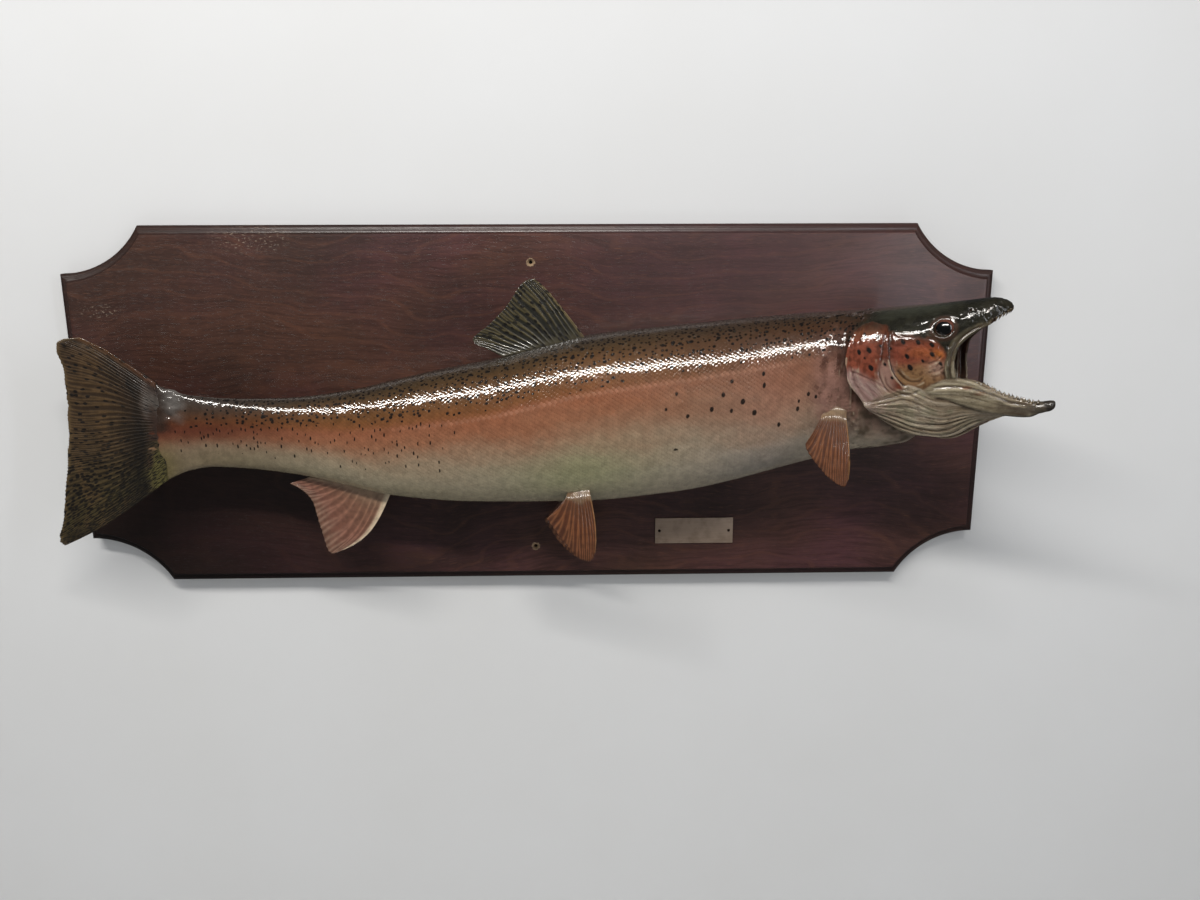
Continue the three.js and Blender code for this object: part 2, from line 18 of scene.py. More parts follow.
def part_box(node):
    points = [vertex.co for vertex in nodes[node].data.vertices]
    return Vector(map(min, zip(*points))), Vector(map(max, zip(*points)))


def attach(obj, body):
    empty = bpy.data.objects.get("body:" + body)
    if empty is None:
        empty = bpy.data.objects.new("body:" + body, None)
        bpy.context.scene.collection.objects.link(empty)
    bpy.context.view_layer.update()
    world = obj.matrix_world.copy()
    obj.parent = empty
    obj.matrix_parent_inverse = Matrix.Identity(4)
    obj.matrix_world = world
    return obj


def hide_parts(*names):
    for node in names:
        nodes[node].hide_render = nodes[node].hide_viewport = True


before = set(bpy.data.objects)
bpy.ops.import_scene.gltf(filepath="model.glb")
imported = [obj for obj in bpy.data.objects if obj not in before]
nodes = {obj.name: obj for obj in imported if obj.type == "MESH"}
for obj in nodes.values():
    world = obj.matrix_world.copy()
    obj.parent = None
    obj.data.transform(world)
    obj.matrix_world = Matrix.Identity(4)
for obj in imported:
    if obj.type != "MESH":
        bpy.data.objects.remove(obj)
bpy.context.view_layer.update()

print("frame holds", len(nodes), "nodes")

# %% [markdown]
# ## Fish coordinates
# The fish is easiest to shape while it lies straight. A point is [station, side, height] in
# millimetres: the station runs along the spine to the snout, the side is positive towards the
# viewer. `bend` lays that straight fish out on the board, with its head turned out from the wall
# and its tail swung a little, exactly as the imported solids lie.

# %% Lay the straight fish out on the board
MM = 0.001
SPINE_Y = -68.0
HEAD_TURN = (190.0, 300.0, math.radians(31))
TAIL_SWING = (250.0, 400.0, math.radians(6))
rng = np.random.default_rng(7)


def turned(length, start, stop, angle):
    rate = angle / (stop - start)
    heading = np.clip(length - start, 0, stop - start) * rate
    beyond = np.maximum(length - stop, 0)
    along = np.minimum(length, start) + np.sin(heading) / rate + beyond * math.cos(angle)
    out = (1 - np.cos(heading)) / rate + beyond * math.sin(angle)
    return along, out, heading


def xyz(*parts):
    """Points from their three coordinates, each a number or an array."""
    return np.stack(np.broadcast_arrays(*parts), axis=-1)


def bend(points):
    """Straight fish coordinates in millimetres to the frame's metres."""
    station, side, height = np.asarray(points, float).T
    ahead = turned(station, *HEAD_TURN)
    behind = turned(-station, *TAIL_SWING)
    tail = station < 0
    heading = np.where(tail, -behind[2], ahead[2])
    x = np.where(tail, -behind[0], ahead[0]) - side * np.sin(heading)
    y = SPINE_Y - np.where(tail, behind[1], ahead[1]) - side * np.cos(heading)
    return xyz(x, y, height) * MM


print("snout to tail as it lies, mm:", (bend([[439, 0, 29], [-414, 0, 0]]) / MM).round(1).tolist())


# %% Smooth functions through a few named places
def through(*pairs):
    """A smooth function through [place, value] pairs."""
    x, y = np.array(pairs, float).T
    before, after = np.r_[0, 0:len(x) - 1], np.r_[1:len(x), len(x) - 1]
    slope = (y[after] - y[before]) / (x[after] - x[before])

    def value(at):
        at = np.asarray(at, float)
        i = np.clip(np.searchsorted(x, at, side="right") - 1, 0, len(x) - 2)
        span = x[i + 1] - x[i]
        t = np.clip((at - x[i]) / span, 0, 1)
        ends = (2 * t**3 - 3 * t**2 + 1) * y[i] + (3 * t**2 - 2 * t**3) * y[i + 1]
        pull = (t**3 - 2 * t**2 + t) * slope[i] + (t**3 - t**2) * slope[i + 1]
        return ends + pull * span

    return value


def path(*points):
    """A smooth path through points, as a function of 0..1."""
    p = np.array(points, float)
    p = np.vstack([2 * p[0] - p[1], p, 2 * p[-1] - p[-2]])
    step = np.maximum(np.linalg.norm(np.diff(p, axis=0), axis=1) ** 0.5, 1e-4)

    def at(t):
        t = np.clip(np.asarray(t, float), 0, 1) * (len(p) - 3)
        i = np.minimum(t.astype(int), len(p) - 4)
        t = (t - i)[..., None]
        a, b, c, d = p[i], p[i + 1], p[i + 2], p[i + 3]
        k0, k1, k2 = (step[i + j][..., None] for j in range(3))
        m1 = ((b - a) / k0 - (c - a) / (k0 + k1) + (c - b) / k1) * k1
        m2 = ((c - b) / k1 - (d - b) / (k1 + k2) + (d - c) / k2) * k1
        return (b + m1 * t + (3 * (c - b) - 2 * m1 - m2) * t**2
                + (2 * (b - c) + m1 + m2) * t**3)

    return at


def ease(value, low, high):
    """0 below low, 1 above high, smooth between."""
    t = np.clip((np.asarray(value, float) - low) / (high - low), 0, 1)
    return t * t * (3 - 2 * t)


def power(value, exponent):
    return np.sign(value) * np.abs(value) ** exponent


# %% [markdown]
# ## The trunk's form
# The body could be sculpted by hand, but scales have to lie on it in even rows, so it is made by
# rule: three curves give its outline, and each cross-section is a superellipse between them. The
# side against the board is pressed flat. The lateral line divides each flank, and places on the
# flank are told by their distance from it over the skin.

# %% Outline of the trunk
NAPE = 283.0
STALK_END = -324.0
FLAT_SIDE = -47.7
trunk_top = through(
    [-324, 37], [-312, 30], [-300, 25.4], [-286, 23], [-262, 21], [-234, 20.4], [-191, 22],
    [-148, 28.6], [-112, 37], [-72, 46], [-29, 54.5], [10, 64.3], [49, 73], [95, 78.6],
    [129, 82.2], [197, 88.6], [283, 96.2])
trunk_low = through(
    [-324, -55], [-312, -48.5], [-300, -44], [-278, -40.6], [-239, -43.2], [-199, -49],
    [-163, -57.5], [-127, -66.2], [-70, -72.2], [5, -73.2], [58, -72.5], [106, -67.6],
    [150, -61.2], [200, -49], [242, -36.4], [283, -23])
trunk_side = through(
    [-324, 4], [-300, 7.5], [-262, 11.5], [-235, 15], [-200, 20], [-148, 27.5], [-100, 34.5],
    [-50, 40.5], [0, 44.8], [50, 47], [100, 47.6], [150, 47], [200, 45.4], [240, 43.2],
    [283, 39.5])
lateral_height = through(
    [-324, -8], [-262, -6.4], [-195, -5.6], [-108, -1], [-28, 11], [43, 28], [117, 39],
    [213, 53], [283, 64])


def trunk_section(station):
    """Top, bottom and widest height of the cross-section, and its superellipse's exponent."""
    top, low = trunk_top(station), trunk_low(station)
    forward = ease(station, 150, NAPE)
    return top, low, low + (top - low) * (0.52 + 0.06 * forward), 2.15 + 0.15 * forward


def trunk_point(station, angle, inset=0.0):
    """A point of the trunk: angle -90 degrees at the belly, 0 at the near flank, 90 at the back."""
    top, low, middle, exponent = trunk_section(station)
    across, up = power(np.cos(angle), 2 / exponent), power(np.sin(angle), 2 / exponent)
    width = (trunk_side(station) - inset) * np.where(across < 0, 1.05, 1)
    reach = np.where(up > 0, top - middle, middle - low) - inset
    return xyz(station, np.maximum(width * across, FLAT_SIDE + inset), middle + reach * up)


# %% Measure the skin from the lateral line
TABLE_STATIONS = np.linspace(STALK_END, NAPE, 304)
TABLE_PLACES = np.linspace(-1, 1, 121)
fine_angle = np.radians(np.linspace(-90, 90, 361))


def flank_table():
    angles, arcs = [], []
    for station in TABLE_STATIONS:
        ring = trunk_point(np.full(361, station), fine_angle)
        arc = np.r_[0, np.cumsum(np.linalg.norm(np.diff(ring, axis=0), axis=1))]
        line = np.interp(lateral_height(station), ring[:, 2], arc)
        place = np.where(arc > line, (arc - line) / (arc[-1] - line), (arc - line) / line)
        angles.append(np.interp(TABLE_PLACES, place, fine_angle))
        arcs.append([line, arc[-1] - line])
    return np.array(angles), np.array(arcs)


flank_angles, flank_arcs = flank_table()


def arc_below(station):
    return np.interp(station, TABLE_STATIONS, flank_arcs[:, 0])


def arc_above(station):
    return np.interp(station, TABLE_STATIONS, flank_arcs[:, 1])


def table_row(station):
    return np.interp(station, TABLE_STATIONS, np.arange(len(TABLE_STATIONS)))


def place_of(station, arc):
    """The place on the flank, -1..1, from the distance over the skin."""
    return arc / np.where(arc > 0, arc_above(station), arc_below(station))


def flank_angle(station, place):
    """Angle of a place on the flank: -1 belly, 0 lateral line, 1 back."""
    i = np.clip(table_row(station), 0, len(TABLE_STATIONS) - 1.001)
    j = np.interp(place, TABLE_PLACES, np.arange(len(TABLE_PLACES)))
    j = np.clip(j, 0, len(TABLE_PLACES) - 1.001)
    i0, j0 = i.astype(int), j.astype(int)
    a, b = i - i0, j - j0
    near = flank_angles[i0, j0] * (1 - b) + flank_angles[i0, j0 + 1] * b
    far = flank_angles[i0 + 1, j0] * (1 - b) + flank_angles[i0 + 1, j0 + 1] * b
    return near * (1 - a) + far * a


def flank_place(station, height):
    """The place on the flank of any point of the trunk's skin, from its height."""
    top, low, middle, exponent = trunk_section(station)
    reach = np.where(height > middle, top - middle, middle - low)
    share = np.clip((height - middle) / reach, -1, 1)
    angle = np.arcsin(power(share, exponent / 2))
    table = flank_angles[table_row(station).round().astype(int)]
    each = np.arange(len(table))
    j = np.clip((table < angle[:, None]).sum(axis=1), 1, len(TABLE_PLACES) - 1)
    low_angle, high_angle = table[each, j - 1], table[each, j]
    part = (angle - low_angle) / np.maximum(high_angle - low_angle, 1e-6)
    return TABLE_PLACES[j - 1] + np.clip(part, 0, 1) * (TABLE_PLACES[1] - TABLE_PLACES[0])


print("girth at the middle, mm:", round(2 * float(arc_below(60) + arc_above(60))))

# %% [markdown]
# ## Meshes from rows of points
# Every form here is a net of points in rows and columns. A loft closes the net into a tube and
# caps it; a sheet gives a net two faces and a border, so it is a thin solid.

# %% Nets, lofts and sheets
def net_faces(rows, columns, closed=False, start=0):
    r, c = np.meshgrid(np.arange(rows - 1), np.arange(columns - (not closed)), indexing="ij")
    right = (c + 1) % columns
    quad = [r * columns + c, r * columns + right, (r + 1) * columns + right, (r + 1) * columns + c]
    return np.stack(quad, axis=-1).reshape(-1, 4) + start


def round_turn(count):
    """Angles of a full turn, the last one short of the first."""
    return np.linspace(0, 2 * np.pi, count + 1)[:-1]


def oval(station, side, middle, rise, turn):
    """An upright oval ring round the spine."""
    return xyz(station, side * np.cos(turn), middle + rise * np.sin(turn))


def loft(rings):
    """A closed body from an array of rings: [ring, point, xyz]."""
    count, size = rings.shape[:2]
    faces = net_faces(count, size, closed=True)
    caps = [list(range(size))[::-1], list(range((count - 1) * size, count * size))]
    return rings.reshape(-1, 3), [tuple(f) for f in faces.tolist()] + [tuple(c) for c in caps]


def grid(columns, rows):
    v, u = np.meshgrid(np.linspace(0, 1, rows), np.linspace(0, 1, columns), indexing="ij")
    return u.ravel(), v.ravel()


def net_normals(points, rows, columns):
    p = points.reshape(rows, columns, 3)
    n = np.cross(np.gradient(p, axis=1), np.gradient(p, axis=0)).reshape(-1, 3)
    n /= np.maximum(np.linalg.norm(n, axis=1, keepdims=True), 1e-9)
    return n * (-1 if n[:, 1].mean() < 0 else 1)


def sheet(points, rows, columns, outer, inner):
    """A thin solid: the net moved out by `outer` and in by `inner` along its normals."""
    n = net_normals(points, rows, columns)
    both = np.vstack([points + n * outer[:, None], points - n * inner[:, None]])
    count = rows * columns
    front = net_faces(rows, columns)
    back = net_faces(rows, columns, start=count)[:, ::-1]
    border = np.r_[np.arange(columns - 1), np.arange(rows - 1) * columns + columns - 1,
                   rows * columns - 1 - np.arange(columns - 1),
                   (rows - 1 - np.arange(rows - 1)) * columns]
    after = np.roll(border, -1)
    rim = np.stack([after, border, border + count, after + count], axis=1)
    return both, [tuple(f) for f in np.vstack([front, back, rim]).tolist()]


def make_object(name, points, faces, smooth=True):
    mesh = bpy.data.meshes.new(name)
    mesh.from_pydata(np.asarray(points).tolist(), [], faces)
    mesh.update()
    bm = bmesh.new()
    bm.from_mesh(mesh)
    bmesh.ops.recalc_face_normals(bm, faces=bm.faces)
    bm.to_mesh(mesh)
    bm.free()
    mesh.polygons.foreach_set("use_smooth", [smooth] * len(mesh.polygons))
    piece = bpy.data.objects.new(name, mesh)
    bpy.context.scene.collection.objects.link(piece)
    return piece


def bake_modifiers(piece):
    """Gives the piece the mesh that its modifiers make."""
    graph = bpy.context.evaluated_depsgraph_get()
    mesh = bpy.data.meshes.new_from_object(piece.evaluated_get(graph))
    piece.modifiers.clear()
    piece.data = mesh


def vectors(mesh, key):
    """The places ("co") or the normals of all vertices."""
    flat = np.empty(len(mesh.vertices) * 3)
    mesh.vertices.foreach_get(key, flat)
    return flat.reshape(-1, 3)

# %% [markdown]
# ## The head's form
# A head is bones, folds and hollows that no single outline gives. The skull, cheeks, folding lips,
# gill covers, pleated membranes, throat, gullet and lower jaw are therefore shaped one by one with
# fine nets that run into each other. Remeshing them together later gives one continuous skin.

# %% Outlines of the head
HEAD_FLOOR = 62.0
head_top = through(
    [283, 96.4], [300, 98.6], [320, 101.3], [342, 104], [365, 107.4], [385, 110.2], [394, 109.6],
    [398, 108.2], [400, 106.6], [401.5, 104.6])
head_low = through(
    [283, 62], [325, 62], [338, 62.6], [350, 66], [359, 73], [366, 80.5], [371, 84.4],
    [378, 88.6], [387, 93], [394, 97], [400, 101.3], [401.5, 102.8])
head_side = through(
    [283, 38.5], [300, 40.4], [317, 41], [330, 39.4], [343, 36.2], [356, 31], [365, 26.4],
    [372, 22.8], [379, 19], [387, 14.8], [394, 10.6], [398, 7.4], [400, 5], [401.5, 2])
dome = through([283, 2], [340, 2.3])
jaw_top = through(
    [343, 39.2], [352, 45.2], [361, 48.4], [370, 48.6], [381, 45.4], [391, 40.2], [402, 35.7],
    [411, 33.3], [424, 31], [432, 30.6])
jaw_low = through([343, 34], [364, 30.8], [387, 23.2], [407, 20], [424, 20.4], [432, 22])
jaw_side = through(
    [343, 32.4], [352, 30.6], [361, 28.4], [370, 25.8], [381, 21], [391, 16], [402, 11],
    [411, 8], [424, 5], [432, 3.6])
JAW_WALL = 4.6
JAW_SKEW = 0.16
FAR_SINK = 9.0


def head_reach(station, height):
    low = head_low(station)
    rise = np.clip((height - low) / (head_top(station) - low), 0, 0.999)
    drop = np.maximum(HEAD_FLOOR - height, 0) / 25
    arc = (1 - rise ** dome(station)) ** (1 / dome(station))
    return head_side(station) * arc * (1 - 0.1 * drop**2)


def on_head(station, height, lift=0.0):
    return [station, float(head_reach(station, height)) + lift, height]


# %% Collect the head's parts
head_parts, flow = {}, {}


def add_part(name, points, faces, mirror=False):
    points = np.asarray(points, float)
    if mirror:
        points = points * [1, -1, 1]
    head_parts[name] = (points, faces)
    flow[name] = points[:, [0, 2]]


def add_sheet(name, first, second, columns, rows, puff, thickness, relief=None, mirror=False):
    u, v = grid(columns, rows)
    points = first(u) * (1 - v)[:, None] + second(u) * v[:, None]
    points[:, 1] += puff(u, v)
    outer = 0 * u if relief is None else relief(u, v)
    add_part(name, *sheet(points, rows, columns, outer, thickness(u, v)), mirror=mirror)
    length = np.linalg.norm(first(np.array([1.0])) - first(np.array([0.0])))
    across = np.linalg.norm(second(u) - first(u), axis=1).mean()
    flow[name] = np.tile(np.stack([u * length, v * across], axis=1), (2, 1))


# %% Skull and throat
VAULT_POINTS, ROOF_POINTS, JAW_POINTS = 121, 31, 118


def skull():
    stations = np.r_[np.linspace(279, 396, 79), np.linspace(397, 401.5, 8)]
    angle = np.linspace(0, np.pi, VAULT_POINTS)
    rings = []
    for station in stations:
        top, low, side = head_top(station), head_low(station), head_side(station)
        bulge = 2 / dome(station)
        vault = np.stack([side * power(np.cos(angle), bulge),
                          low + (top - low) * power(np.sin(angle), bulge)], axis=1)
        arch = 0.22 * (top - low) * ease(station, 345, 375)
        share = np.linspace(-0.94, 0.94, ROOF_POINTS)
        roof = np.stack([side * share, low + arch * (1 - share**2)], axis=1)
        ring = np.vstack([vault, roof])
        rings.append(np.c_[np.full(len(ring), station), ring])
    return loft(np.array(rings))


def throat():
    stations = np.linspace(279, 347, 46)
    angle = round_turn(120)
    rings = []
    for station in stations:
        along = (station - NAPE) / 55
        side = 37.5 - 15 * along
        low = -22.8 + 14 * along - 1.5 * np.sin(np.pi * np.clip(along, 0, 1))
        low = low + 7 * ease(station, 324, 347)
        top = HEAD_FLOOR + 2
        middle = low + (top - low) * 0.6
        up, across = power(np.sin(angle), 0.85), power(np.cos(angle), 0.85)
        height = middle + np.where(up > 0, top - middle, middle - low) * up
        rings.append(xyz(station, side * across, height))
    return loft(np.array(rings))


def keel():
    """The throat's thin forward end, between the two membranes."""
    rings = []
    for station in np.linspace(322, 392, 48):
        side = np.interp(station, [322, 345, 370, 388, 392], [20, 17, 9.5, 4, 1])
        middle = np.interp(station, [322, 345, 370, 392], [8, 8, 10, 15])
        rise = np.interp(station, [322, 345, 370, 388, 392], [16, 12.5, 9, 4, 1])
        rings.append(oval(station, side, middle, rise, round_turn(60)))
    return loft(np.array(rings))


# %% Lower jaw, tongue and gullet
def lower_jaw():
    rings = []
    for station in np.linspace(342.5, 432.5, 76):
        top, low, side = jaw_top(station), jaw_low(station), jaw_side(station)
        wall = min(JAW_WALL, 0.55 * side)
        floor = low + 2 + (top - 3.2 - low) * ease(station, 396, 424)
        half = np.array([[0, low - 1.6], [side * 0.5, low - 1.4], [side * 0.96, low],
                         [side + 0.8, (top + low) / 2], [side, top - 1.2],
                         [side - wall / 2, top], [side - wall, top - 1],
                         [side - wall - 0.3, max(floor + 0.6, low + 3)], [0, floor]])
        fine = path(*np.c_[half, np.zeros(len(half))].tolist())(np.linspace(0, 1, 60))[:, :2]
        ring = np.vstack([fine[:-1], fine[:0:-1] * [-1, 1]])
        shrink = 1 - 0.5 * ease(station, 420, 431)
        ring = (ring - [0, (top + low) / 2]) * shrink + [0, (top + low) / 2]
        sunk = ring[:, 1] - JAW_SKEW * (side * shrink - ring[:, 0])
        rings.append(np.c_[np.full(len(ring), station), ring[:, 0], sunk])
    return loft(np.array(rings))


def tongue():
    rings = []
    angle = round_turn(40)
    for station in np.linspace(340, 391, 34):
        side = np.interp(station, [340, 356, 368, 380, 389, 391], [10, 11, 10, 7, 4, 1.5])
        rise = np.interp(station, [340, 356, 368, 380, 389, 391], [4, 5.5, 6, 5, 3, 1.4])
        base = jaw_low(station) + 1.6
        height = base + rise / 2 * (1 + np.sin(angle)) - JAW_SKEW * (
            jaw_side(station) - side * np.cos(angle))
        rings.append(xyz(station, side * np.cos(angle), height))
    return loft(np.array(rings))


def gullet():
    """The wall at the back of the open mouth; the paint makes it near black, as painted shade."""
    rings = []
    for along in np.linspace(-0.98, 0.98, 24):
        wide = np.sqrt(1 - along**2)
        rings.append(oval(318 + 16 * along, 33 * wide, 50, 31 * wide, round_turn(60)))
    return loft(np.array(rings))


stub = np.array([trunk_point(np.full(240, s), np.linspace(-np.pi, np.pi, 241)[:-1], 0.5)
                 for s in np.linspace(240, 286, 24)])
add_part("trunk", *loft(stub))
add_part("skull", *skull())
add_part("throat", *throat())
add_part("keel", *keel())
add_part("jaw", *lower_jaw())
add_part("tongue", *tongue())
add_part("gullet", *gullet())


# %% [markdown]
# The membranes below the gill covers are folded like a fan: a dozen ridges run from the throat
# to the jaw's joint. The folds are part of the net, as deep as a fold of dried skin.

# %% Cheeks, lips, gill covers and membranes
def pleats(count, depth):
    def relief(u, v):
        drift = 0.35 * np.sin(5 * u + 3 * v) + 0.22 * np.sin(13 * u - 9 * v)
        wave = np.abs(np.sin(np.pi * (count * v + drift)))
        small = np.abs(np.sin(np.pi * (2.3 * count * v + 2 * drift + 0.6 * np.sin(9 * u))))
        deep = 0.65 + 0.35 * np.sin(7 * v + 4 * u + 1.3 * np.sin(11 * v))
        fade = ease(v, 0.02, 0.12) * ease(1 - v, 0.0, 0.08) * ease(1 - u, 0.04, 0.4)
        return depth * fade * (deep * (wave**0.8 - 0.4) + 0.3 * (small - 0.5))
    return relief


def lip_folds(u, v):
    """Soft creases along the lip."""
    drift = 0.12 * np.sin(8 * u) + 0.06 * np.sin(19 * u)
    return (0.7 * np.sin(2 * np.pi * (1.7 * v + drift)) + 0.3 * np.sin(2 * np.pi * (4 * v - drift))
            ) * ease(u, 0.02, 0.2) * ease(1 - u, 0.02, 0.2)


for side_name, sink, mirror in (("near", 0.0, False), ("far", FAR_SINK, True)):
    upper = path(*[on_head(s, float(head_low(s)) + 3, -0.4) for s in (314, 330, 341, 350, 359.5)])
    lower = path(on_head(320.5, 46), on_head(330, 36.4 - 0.2 * sink),
                 on_head(337.5, 34.6 - 0.7 * sink), on_head(343, 37.4 - sink),
                 on_head(352, 44 - sink), on_head(361.5, 47 - sink))
    add_sheet("cheek_" + side_name, upper, lower, 60, 50, lambda u, v: 1.5 * np.sin(np.pi * v),
              lambda u, v: 4.4 + 0 * u, mirror=mirror)
    front = path([388, 13.8, 93.6], [378, 18.4, 90], [369.5, 23.2, 85], [361.8, 27.4, 76],
                 [358.6, 30, 62], [359.6, 29.4, 51 - sink], [361.4, 26.4, 42.6 - sink])
    back = path([388.4, 13.2, 90.6], [380, 17.4, 85], [373, 21.2, 78.6], [367.5, 24.6, 71.6],
                [366, 26.8, 62], [368.2, 26.4, 51 - sink], [369.4, 23.4, 42.6 - sink])
    add_sheet("lip_" + side_name, front, back, 120, 26, lambda u, v: 0.8 * np.sin(np.pi * v),
              lambda u, v: 2.4 + 0 * u, relief=lip_folds, mirror=mirror)
    gill_front = path(on_head(312, 88.4, 0.9), on_head(316, 80, 0.9), on_head(317, 72, 1.2),
                      on_head(318.6, 61.6, 1.4), on_head(323, 49.4, 1.6), on_head(331.4, 39, 1.6))
    gill_rear = path([301, 31.6, 91], [289.6, 36.6, 86], [282.4, 43.4, 73], [280.6, 46.5, 58],
                     [284, 46.8, 43], [300, 44, 25.4])
    add_sheet("gill_" + side_name, gill_front, gill_rear, 130, 70,
              lambda u, v: 2.4 * np.sin(np.pi * v) + 0.8,
              lambda u, v: 1.5 + 1.3 * np.sin(np.pi * v), mirror=mirror)

near_top = path([299.5, 43.4, 26.4], [317, 41.4, 34.4], [333, 37.2, 41], [341, 34.4, 39.2],
                [350, 30, 34], [364, 24.8, 30.6], [384, 14.8, 23.6], [406, 8, 21.2])
near_low = path([305, 37.5, 18], [316, 33, 9], [330, 27, 1], [346, 18, -2.4], [364, 8, -2.4],
                [384, 3.4, 9.2], [397, 4.6, 15.6], [406, 6, 19.8])
far_top = path([299.5, 43.4, 26.4], [317, 41.4, 33.4], [333, 37.2, 34.6], [345, 32.4, 28],
               [364, 25.4, 24], [384, 14.8, 19], [406, 8, 18.6])
far_low = path([305, 37.5, 14], [320, 33, -2], [338, 26, -9.6], [353, 18, -10.6],
               [367, 9, -5.6], [386, 3.4, 7.6], [397, 4.6, 13.6], [406, 6, 17.4])
for name, top, low, mirror in (("membrane_near", near_top, near_low, False),
                               ("membrane_far", far_top, far_low, True)):
    add_sheet(name, top, low, 170, 110,
              lambda u, v: 5 * np.sin(np.pi * v) * (1 - 0.6 * u),
              lambda u, v: 1.9 - 0.9 * ease(u, 0.85, 1), relief=pleats(9, 1.5), mirror=mirror)
print("head parts:", ", ".join(head_parts))

# %% [markdown]
# ## One skin
# The head's parts could be united by booleans, but their creases would stay knife-sharp. A voxel
# remesh wraps them in a single skin as a real one does. The trunk is a plain net, so it stays one;
# the two are cut at the same cross-section behind the gill covers and sewn together there.

# %% Wrap the head
VOXEL = 0.68
SEAM = 258.0


def joined(parts):
    """One list of points and one of faces from several parts."""
    points, faces, start = [], [], 0
    for part_points, part_faces in parts:
        points.append(part_points)
        faces += [tuple(i + start for i in face) for face in part_faces]
        start += len(part_points)
    return np.vstack(points), faces


def wrapped_head():
    piece = make_object("head_wrap", *joined(head_parts.values()))
    remesh = piece.modifiers.new("wrap", "REMESH")
    remesh.mode = "VOXEL"
    remesh.voxel_size = VOXEL
    remesh.use_smooth_shade = True
    bake_modifiers(piece)
    bm = bmesh.new()
    bm.from_mesh(piece.data)
    geometry = bm.verts[:] + bm.edges[:] + bm.faces[:]
    bmesh.ops.bisect_plane(bm, geom=geometry, plane_co=(SEAM, 0, 0), plane_no=(1, 0, 0),
                           clear_inner=True)
    bmesh.ops.delete(bm, geom=loose_islands(bm), context="VERTS")
    bm.to_mesh(piece.data)
    bm.free()
    return piece


def loose_islands(bm):
    """The vertices that are not in the largest connected piece, such as sealed hollows."""
    seen, groups = set(), []
    for seed in bm.verts:
        if seed in seen:
            continue
        group, stack = [], [seed]
        seen.add(seed)
        while stack:
            vert = stack.pop()
            group.append(vert)
            for edge in vert.link_edges:
                other = edge.other_vert(vert)
                if other not in seen:
                    seen.add(other)
                    stack.append(other)
        groups.append(group)
    groups.sort(key=len)
    return [vert for group in groups[:-1] for vert in group]


skin = wrapped_head()
print("head skin:", len(skin.data.vertices), "vertices")

# %% Net of the trunk
TRUNK_ROWS = 420
TRUNK_COLUMNS = 216
SKIN_DEPTH = 0.5


def trunk_net():
    stations = np.linspace(STALK_END - 16, SEAM, TRUNK_ROWS)
    angle = np.linspace(-np.pi, np.pi, TRUNK_COLUMNS + 1)[:-1]
    station, angle = np.meshgrid(stations, angle, indexing="ij")
    points = trunk_point(station.ravel(), angle.ravel(), SKIN_DEPTH)
    fringe = 2.2 * np.sin(points[:, 2] * 0.9) + 1.6 * np.sin(points[:, 2] * 0.37 + 1)
    points[:, 1] *= 1 - 0.62 * ease(-points[:, 0] + fringe, 322, 338)
    return points


def ring_order(points):
    """Sorts a loop of points by their angle round the trunk's middle."""
    middle = points.mean(axis=0)
    return np.argsort(np.arctan2(points[:, 2] - middle[2], points[:, 1] - middle[1]))


def sew_on_trunk(piece):
    """Adds the trunk's net to the head's mesh, and closes the seam between the two loops."""
    bm = bmesh.new()
    bm.from_mesh(piece.data)
    verts = [bm.verts.new(p) for p in trunk_net().tolist()]
    for face in net_faces(TRUNK_ROWS, TRUNK_COLUMNS, closed=True).tolist():
        bm.faces.new([verts[i] for i in face])
    bm.faces.new(verts[:TRUNK_COLUMNS])
    head_loop = {v for e in bm.edges if e.is_boundary for v in e.verts if v.co.x > SEAM - 0.01}
    trunk_loop = verts[-TRUNK_COLUMNS:]
    head_loop = list(head_loop - set(trunk_loop))
    for loop in (head_loop, trunk_loop):
        order = ring_order(np.array([v.co[:] for v in loop]))
        loop[:] = [loop[i] for i in order]
    zip_loops(bm, head_loop, trunk_loop)
    bmesh.ops.recalc_face_normals(bm, faces=bm.faces)
    bm.to_mesh(piece.data)
    bm.free()


def zip_loops(bm, first, second):
    """Triangles between two loops of different counts, always advancing the one that lags."""
    n, m = len(first), len(second)
    turn = [np.unwrap([math.atan2(v.co.z - 20, v.co.y) for v in loop + loop[:1]])
            for loop in (first, second)]
    i = j = 0
    while i < n or j < m:
        if j == m or (i < n and turn[0][i + 1] - turn[0][0] <= turn[1][j + 1] - turn[1][0]):
            corners = [first[i % n], first[(i + 1) % n], second[j % m]]
            i += 1
        else:
            corners = [first[i % n], second[(j + 1) % m], second[j % m]]
            j += 1
        bm.faces.new(corners)


sew_on_trunk(skin)
skin.data.polygons.foreach_set("use_smooth", [True] * len(skin.data.polygons))
skin.name = skin.data.name = "trout_skin"
print("skin:", len(skin.data.vertices), "vertices, seam sewn")

# %% [markdown]
# Each point of the new skin still has to know what it belongs to: skull, cheek, gill cover, or
# the lining of the mouth. It takes that from the nearest point of the parts it was wrapped over,
# and the borders are then softened along the mesh.

# %% Tell the parts of the skin apart
place, normal = vectors(skin.data, "co"), vectors(skin.data, "normal")
edge_ends = np.empty(len(skin.data.edges) * 2, int)
skin.data.edges.foreach_get("vertices", edge_ends)
edge_ends = edge_ends.reshape(-1, 2)
degree = np.bincount(edge_ends.ravel(), minlength=len(place)).astype(float)


def neighbour_mean(values):
    total = np.zeros(len(values))
    for one, other in (edge_ends.T, edge_ends.T[::-1]):
        total += np.bincount(one, weights=values[other], minlength=len(values))
    return total / degree


def softened(values, rounds):
    values = np.asarray(values, float)
    for _ in range(rounds):
        values = 0.5 * values + 0.5 * neighbour_mean(values)
    return values


